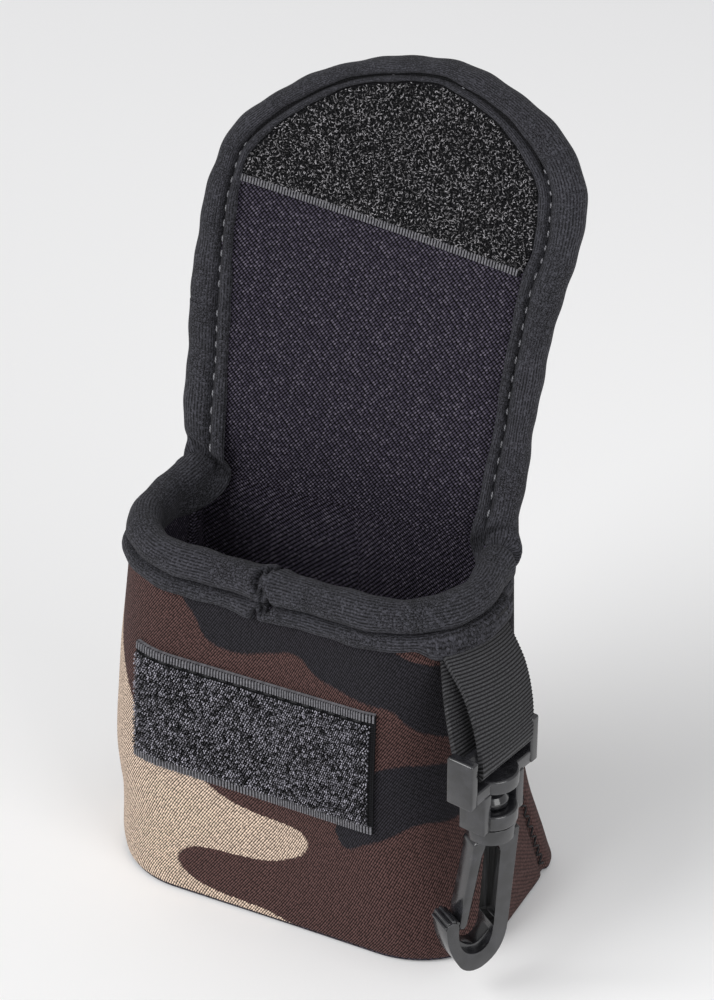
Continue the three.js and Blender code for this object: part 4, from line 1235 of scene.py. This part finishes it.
# Acetal: satin black moulding with faint drifting sink marks and fine scuffs.
ACETAL, ACETAL_SCUFF = srgb("#19191b"), srgb("#313135")
acetal, tree, shader = new_finish("black acetal", roughness=0.3, gloss=0.8)
SCUFF_SIZE, SINK_DEPTH, SINK_STRENGTH = 2.5, 0.05, 0.4
space = add(tree, "ShaderNodeTexCoord")
scuffs = add(tree, "ShaderNodeTexNoise", {
    "Vector": space.outputs["Object"], "Scale": 1 / (SCUFF_SIZE * MM), "Detail": 5.0, "Roughness": 0.6,
}).outputs["Fac"]
scuffed = tint(tree, ranged(tree, scuffs, 0.4, 0.75), ACETAL, ACETAL_SCUFF)
dress(tree, shader, scuffed, scuffs, SINK_DEPTH, SINK_STRENGTH)
tree.links.new(ranged(tree, scuffs, 0.3, 0.7, 0.12, 0.28), shader.inputs["Roughness"])


def block(bm, low, high):
    """A moulded block between two corners"""
    made = bmesh.ops.create_cube(bm, size=1)["verts"]
    low, high = Vector(low), Vector(high)
    bmesh.ops.scale(bm, vec=[abs(size) for size in high - low], verts=made)
    bmesh.ops.translate(bm, vec=(low + high) / 2, verts=made)


def rod(bm, radius, length, segments, axis):
    """A round rod, turned about an axis to lie flat"""
    made = bmesh.ops.create_cone(
        bm, cap_ends=True, segments=segments, radius1=radius, radius2=radius, depth=length,
    )["verts"]
    bmesh.ops.rotate(bm, matrix=Matrix.Rotation(math.pi / 2, 3, axis), cent=(0, 0, 0), verts=made)
    return made


def turned(bm, profile, steps):
    """A round form about the upright axis: a profile of (radius, height) spun once round"""
    corners = [bm.verts.new((radius, 0, rise)) for radius, rise in profile]
    edges = [bm.edges.new(pair) for pair in zip(corners, corners[1:])]
    bmesh.ops.spin(bm, geom=corners + edges, axis=(0, 0, 1), cent=(0, 0, 0), angle=math.tau,
                   steps=steps, use_merge=True)


def round_edges(bm, offset, segments):
    """Rounds every edge that is sharper than a faint bend"""
    sharp = [e for e in bm.edges if len(e.link_faces) == 2 and e.calc_face_angle(0) > SHARP_FROM]
    bmesh.ops.bevel(bm, geom=sharp, offset=offset, affect="EDGES", segments=segments, profile=0.5,
                    material=-1, clamp_overlap=True)


bm = bmesh.new()
for side in (-1, 1):
    block(bm, (side * EAR_INNER, -EYE_HALF, EAR_FOOT), (side * EAR_OUTER, EYE_HALF, EAR_TOP))
    block(bm, (side * YOKE_INNER, -EYE_HALF, YOKE_FOOT),
          (side * YOKE_OUTER, EYE_HALF, BRIDGE_FOOT + YOKE_LAP))
bridge_half = Vector((EAR_INNER + BRIDGE_LAP, EYE_HALF - BRIDGE_INSET))
block(bm, (*-bridge_half, BRIDGE_FOOT), (*bridge_half, BRIDGE_TOP))
rod(bm, BAR_RADIUS, 2 * (EAR_INNER + BAR_LAP), 24, "Y")
turned(bm, [
    (0, BRIDGE_TOP + BRIDGE_INSET), (RING_RADIUS, BRIDGE_TOP + BRIDGE_INSET),
    (RING_RADIUS, BRIDGE_FOOT), (0, BRIDGE_FOOT),
], ROUND_STEPS)
turned(bm, [
    (RING_BORE, YOKE_FOOT), (RING_RADIUS, YOKE_FOOT), (RING_RADIUS, RING_TOP), (RING_BORE, RING_TOP),
    (RING_BORE, YOKE_FOOT),
], ROUND_STEPS)
bmesh.ops.remove_doubles(bm, verts=bm.verts, dist=0.001)
face_out(bm)
round_edges(bm, EDGE_ROUND, EDGE_SEGMENTS)
eye_place = Matrix.Translation(BAR_MIDDLE) @ Matrix.Rotation(BAR_TURN, 4, "Z")
bmesh.ops.transform(bm, matrix=eye_place, verts=bm.verts)
eye = finish_piece(bm, "swivel_eye_frame", acetal)
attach(eye, "snap_eye")
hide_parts("swivel_eye")

# Snap hook
# A moulded acetal hook with a square-cut spine, whose inner side is cored out to a channel. The
# pin on its collar passes up through the ring of the eye, and a domed head keeps it there.
HOOK_TURN = math.radians(54)
COLLAR_FOOT = -18.8
COLLAR_RADIUS, COLLAR_TOP = 4.5, -15.7
PIN_RADIUS, HEAD_RADIUS, HEAD_FOOT, HEAD_TOP = 1.7, 3.1, -11.9, -9.4
HEAD_RIM, HEAD_DOME = 1.0, ((0.8, 0.4), (0.45, 0.0))
HOOK_HALF = 2.8


def bent(start, pull, end, steps):
    """A curve from a start to an end, drawn towards a pulling point"""
    start, pull, end = Vector(start), Vector(pull), Vector(end)
    return [start.lerp(pull, k / steps).lerp(pull.lerp(end, k / steps), k / steps) for k in range(steps)]


def half_circle(middle, radius):
    """The upper half of a circle, from right to left"""
    turns = (math.pi * k / 8 for k in range(9))
    return [middle + Vector((math.cos(turn), math.sin(turn))) * radius for turn in turns]


NOSE_MIDDLE, NOSE_RADIUS = Vector((-8.75, -17.5)), 1.3
hook_outline = [Vector((-1.65, 1.55))]
hook_outline += bent((-1.65, 0), (0.7, -0.6), (0.6, -3.6), 6)
hook_outline += bent((-0.4, -19.5), (-0.6, -24.6), (-3.6, -24.9), 8)
hook_outline += bent((-3.6, -24.9), (-7.3, -24.6), (-7.5, -19.5), 8)
hook_outline += [Vector((-7.5, -19.5))]
hook_outline += half_circle(NOSE_MIDDLE, NOSE_RADIUS)
hook_outline += bent((-9.9, -19.5), (-9.6, -23.0), (-7.0, -27.2), 8)
hook_outline += bent((-7.0, -27.2), (-5.4, -29.3), (-2.6, -28.5), 6)
hook_outline += bent((-2.6, -28.5), (2.2, -26.4), (2.7, -19.5), 8)
hook_outline += [Vector((2.7, -19.5)), Vector((4.4, 1.55))]
ledge_outline = bent((-8.4, -19.0), (-8.0, -26.2), (-3.7, -26.4), 8)
ledge_outline += bent((-3.7, -26.4), (0.6, -26), (0.8, -19), 8)
ledge_outline += bent((0.8, -19), (-1.7, -23.3), (-3.7, -23.6), 8)
ledge_outline += bent((-3.7, -23.6), (-6.3, -23.4), (-8.4, -19), 8)
LEDGE_SHARE = 0.55
RIDGE_RADIUS, RIDGE_INSET, RIDGE_ANGLES = 0.42, 0.2, (35, 80, 125, 170)
CHANNEL_LIP, CHANNEL_DEPTH, CHANNEL_LEAST_AREA = 0.8, 2.0, 60


def plate(bm, outline, half, foot):
    """A flat moulding: an outline in the hook's upright plane, given a thickness"""
    side = bm.faces.new([bm.verts.new((spot.x, -half, spot.y + foot)) for spot in outline])
    lifted = bmesh.ops.extrude_face_region(bm, geom=[side])["geom"]
    bmesh.ops.translate(bm, vec=(0, 2 * half, 0), verts=only_verts(lifted))


# Cored acetal: the channel keeps the mould's rough draw marks as upright grey streaks, on a black that is
# painted darker than the outer acetal as shade in the recess.
CORE, CORE_STREAK = srgb("#070707"), srgb("#343437")
shaded_core_acetal, tree, shader = new_finish("rough cored acetal with painted shade", roughness=0.5, gloss=0.4)
STREAK_WIDTH, STREAK_LENGTH, STREAK_DEPTH = 0.7, 14, 0.3
space = add(tree, "ShaderNodeTexCoord")
drawn = add(tree, "ShaderNodeMapping", {
    "Vector": space.outputs["Object"],
    "Scale": [1 / (size * MM) for size in (STREAK_WIDTH, STREAK_WIDTH, STREAK_LENGTH)],
})
streaks = add(tree, "ShaderNodeTexNoise", {
    "Vector": drawn.outputs["Vector"], "Scale": 1.0, "Detail": 3.0,
}).outputs["Fac"]
streaked = tint(tree, ranged(tree, streaks, 0.5, 0.75), CORE, CORE_STREAK)
dress(tree, shader, streaked, streaks, STREAK_DEPTH)

bm = bmesh.new()
plate(bm, hook_outline, HOOK_HALF, COLLAR_FOOT)
face_out(bm)
channel = [f for f in bm.faces if f.normal.x < -0.9 and f.calc_area() > CHANNEL_LEAST_AREA]
walls = bmesh.ops.inset_individual(
    bm, faces=channel, thickness=CHANNEL_LIP, depth=-CHANNEL_DEPTH,
)["faces"]
# The channel's faces take the cored finish, whose darker black is painted shade.
for face in channel + walls:
    face.material_index = 1
plate(bm, ledge_outline, HOOK_HALF * LEDGE_SHARE, COLLAR_FOOT)
for angle in RIDGE_ANGLES:
    ridge = rod(bm, RIDGE_RADIUS, 2 * (HOOK_HALF - RIDGE_INSET), 12, "X")
    turn = math.radians(angle)
    crest = NOSE_MIDDLE + Vector((math.cos(turn), math.sin(turn))) * NOSE_RADIUS
    bmesh.ops.translate(bm, vec=(crest.x, 0, COLLAR_FOOT + crest.y), verts=ridge)
turned(bm, [
    (0, COLLAR_FOOT), (COLLAR_RADIUS, COLLAR_FOOT), (COLLAR_RADIUS, COLLAR_TOP), (PIN_RADIUS, COLLAR_TOP),
    (PIN_RADIUS, HEAD_FOOT), (HEAD_RADIUS, HEAD_FOOT), (HEAD_RADIUS, HEAD_FOOT + HEAD_RIM),
    *((HEAD_RADIUS * share, HEAD_TOP - drop) for share, drop in HEAD_DOME), (0, HEAD_TOP),
], ROUND_STEPS)
bmesh.ops.remove_doubles(bm, verts=bm.verts, dist=0.001)
face_out(bm)
round_edges(bm, EDGE_ROUND, EDGE_SEGMENTS)
hook_place = Matrix.Translation(BAR_MIDDLE) @ Matrix.Rotation(HOOK_TURN, 4, "Z")
bmesh.ops.transform(bm, matrix=hook_place, verts=bm.verts)
hook = finish_piece(bm, "snap_hook_body", acetal, shaded_core_acetal)
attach(hook, "snap_hook")
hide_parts("snap_hook")

# Gate
# A springy acetal tongue that closes the mouth of the hook. It is thicker at its root under the
# collar and its tip rests against the inside of the nose.
GATE_HALF = 2.2
GATE_ROOT, GATE_ROOT_RADIUS = Vector((-3.2, -1.25)), 1.35
gate_outline = half_circle(GATE_ROOT, GATE_ROOT_RADIUS)
gate_outline += [Vector(spot) for spot in (
    (-4.75, -3.6), (-7.2, -18.0), (-7.0, -18.8), (-6.1, -19.1), (-5.4, -18.2), (-2.7, -3.6),
)]
bm = bmesh.new()
plate(bm, gate_outline, GATE_HALF, COLLAR_FOOT)
face_out(bm)
round_edges(bm, EDGE_ROUND, EDGE_SEGMENTS)
bmesh.ops.transform(bm, matrix=hook_place, verts=bm.verts)
gate = finish_piece(bm, "hook_gate_tongue", acetal)
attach(gate, "hook_gate")
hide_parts("hook_gate")

# Floor and light
# A plain pale sweep, painted a little greyer into the distance as shade where the light falls off. One
# broad soft light comes from the left front, a weaker lamp from the right, and an even pale room fills the
# rest.
FLOOR_NEAR, FLOOR_FAR_SHADE = srgb("#f8f8f8"), srgb("#dededf")
FLOOR_HALF, FLOOR_SHADE_FADE = 3000, (-0.1, 0.9)
ROOM_TONE, ROOM_STRENGTH = srgb("#f4f4f5"), 0.58
KEY_FROM, KEY_ENERGY, KEY_SPREAD = Vector((-0.6, -0.75, 0.75)), 1.9, math.radians(42)
FILL_PLACE, FILL_ENERGY, FILL_SIZE = Vector((520, -260, 300)), 1.3, 360
bm = bmesh.new()
bmesh.ops.create_grid(bm, x_segments=1, y_segments=1, size=FLOOR_HALF)
paper, tree, shader = new_finish("matt paper", roughness=0.9)
space = add(tree, "ShaderNodeTexCoord")
place = add(tree, "ShaderNodeSeparateXYZ", {"Vector": space.outputs["Object"]})
# The floor darkens with distance: painted shade for the light's falloff.
away = ranged(tree, place.outputs["Y"], *FLOOR_SHADE_FADE, ease="SMOOTHSTEP")
dress(tree, shader, tint(tree, away, FLOOR_NEAR, FLOOR_FAR_SHADE))
floor = finish_piece(bm, "floor", paper)
world = bpy.data.worlds.new("studio")
world.use_nodes = True
room = world.node_tree.nodes["Background"]
room.inputs["Color"].default_value = ROOM_TONE
room.inputs["Strength"].default_value = ROOM_STRENGTH
bpy.context.scene.world = world
key = bpy.data.objects.new("key_light", bpy.data.lights.new("key_light", "SUN"))
key.data.energy = KEY_ENERGY
key.data.angle = KEY_SPREAD
key.rotation_euler = KEY_FROM.to_track_quat("Z", "Y").to_euler()
bpy.context.scene.collection.objects.link(key)
fill = bpy.data.objects.new("fill_lamp", bpy.data.lights.new("fill_lamp", "AREA"))
fill.data.size = FILL_SIZE * MM
fill.data.energy = FILL_ENERGY
fill.location = FILL_PLACE * MM
fill.rotation_euler = (FILL_PLACE - VIEW_AIM).to_track_quat("Z", "Y").to_euler()
bpy.context.scene.collection.objects.link(fill)
bpy.context.scene.view_settings.view_transform = "Standard"
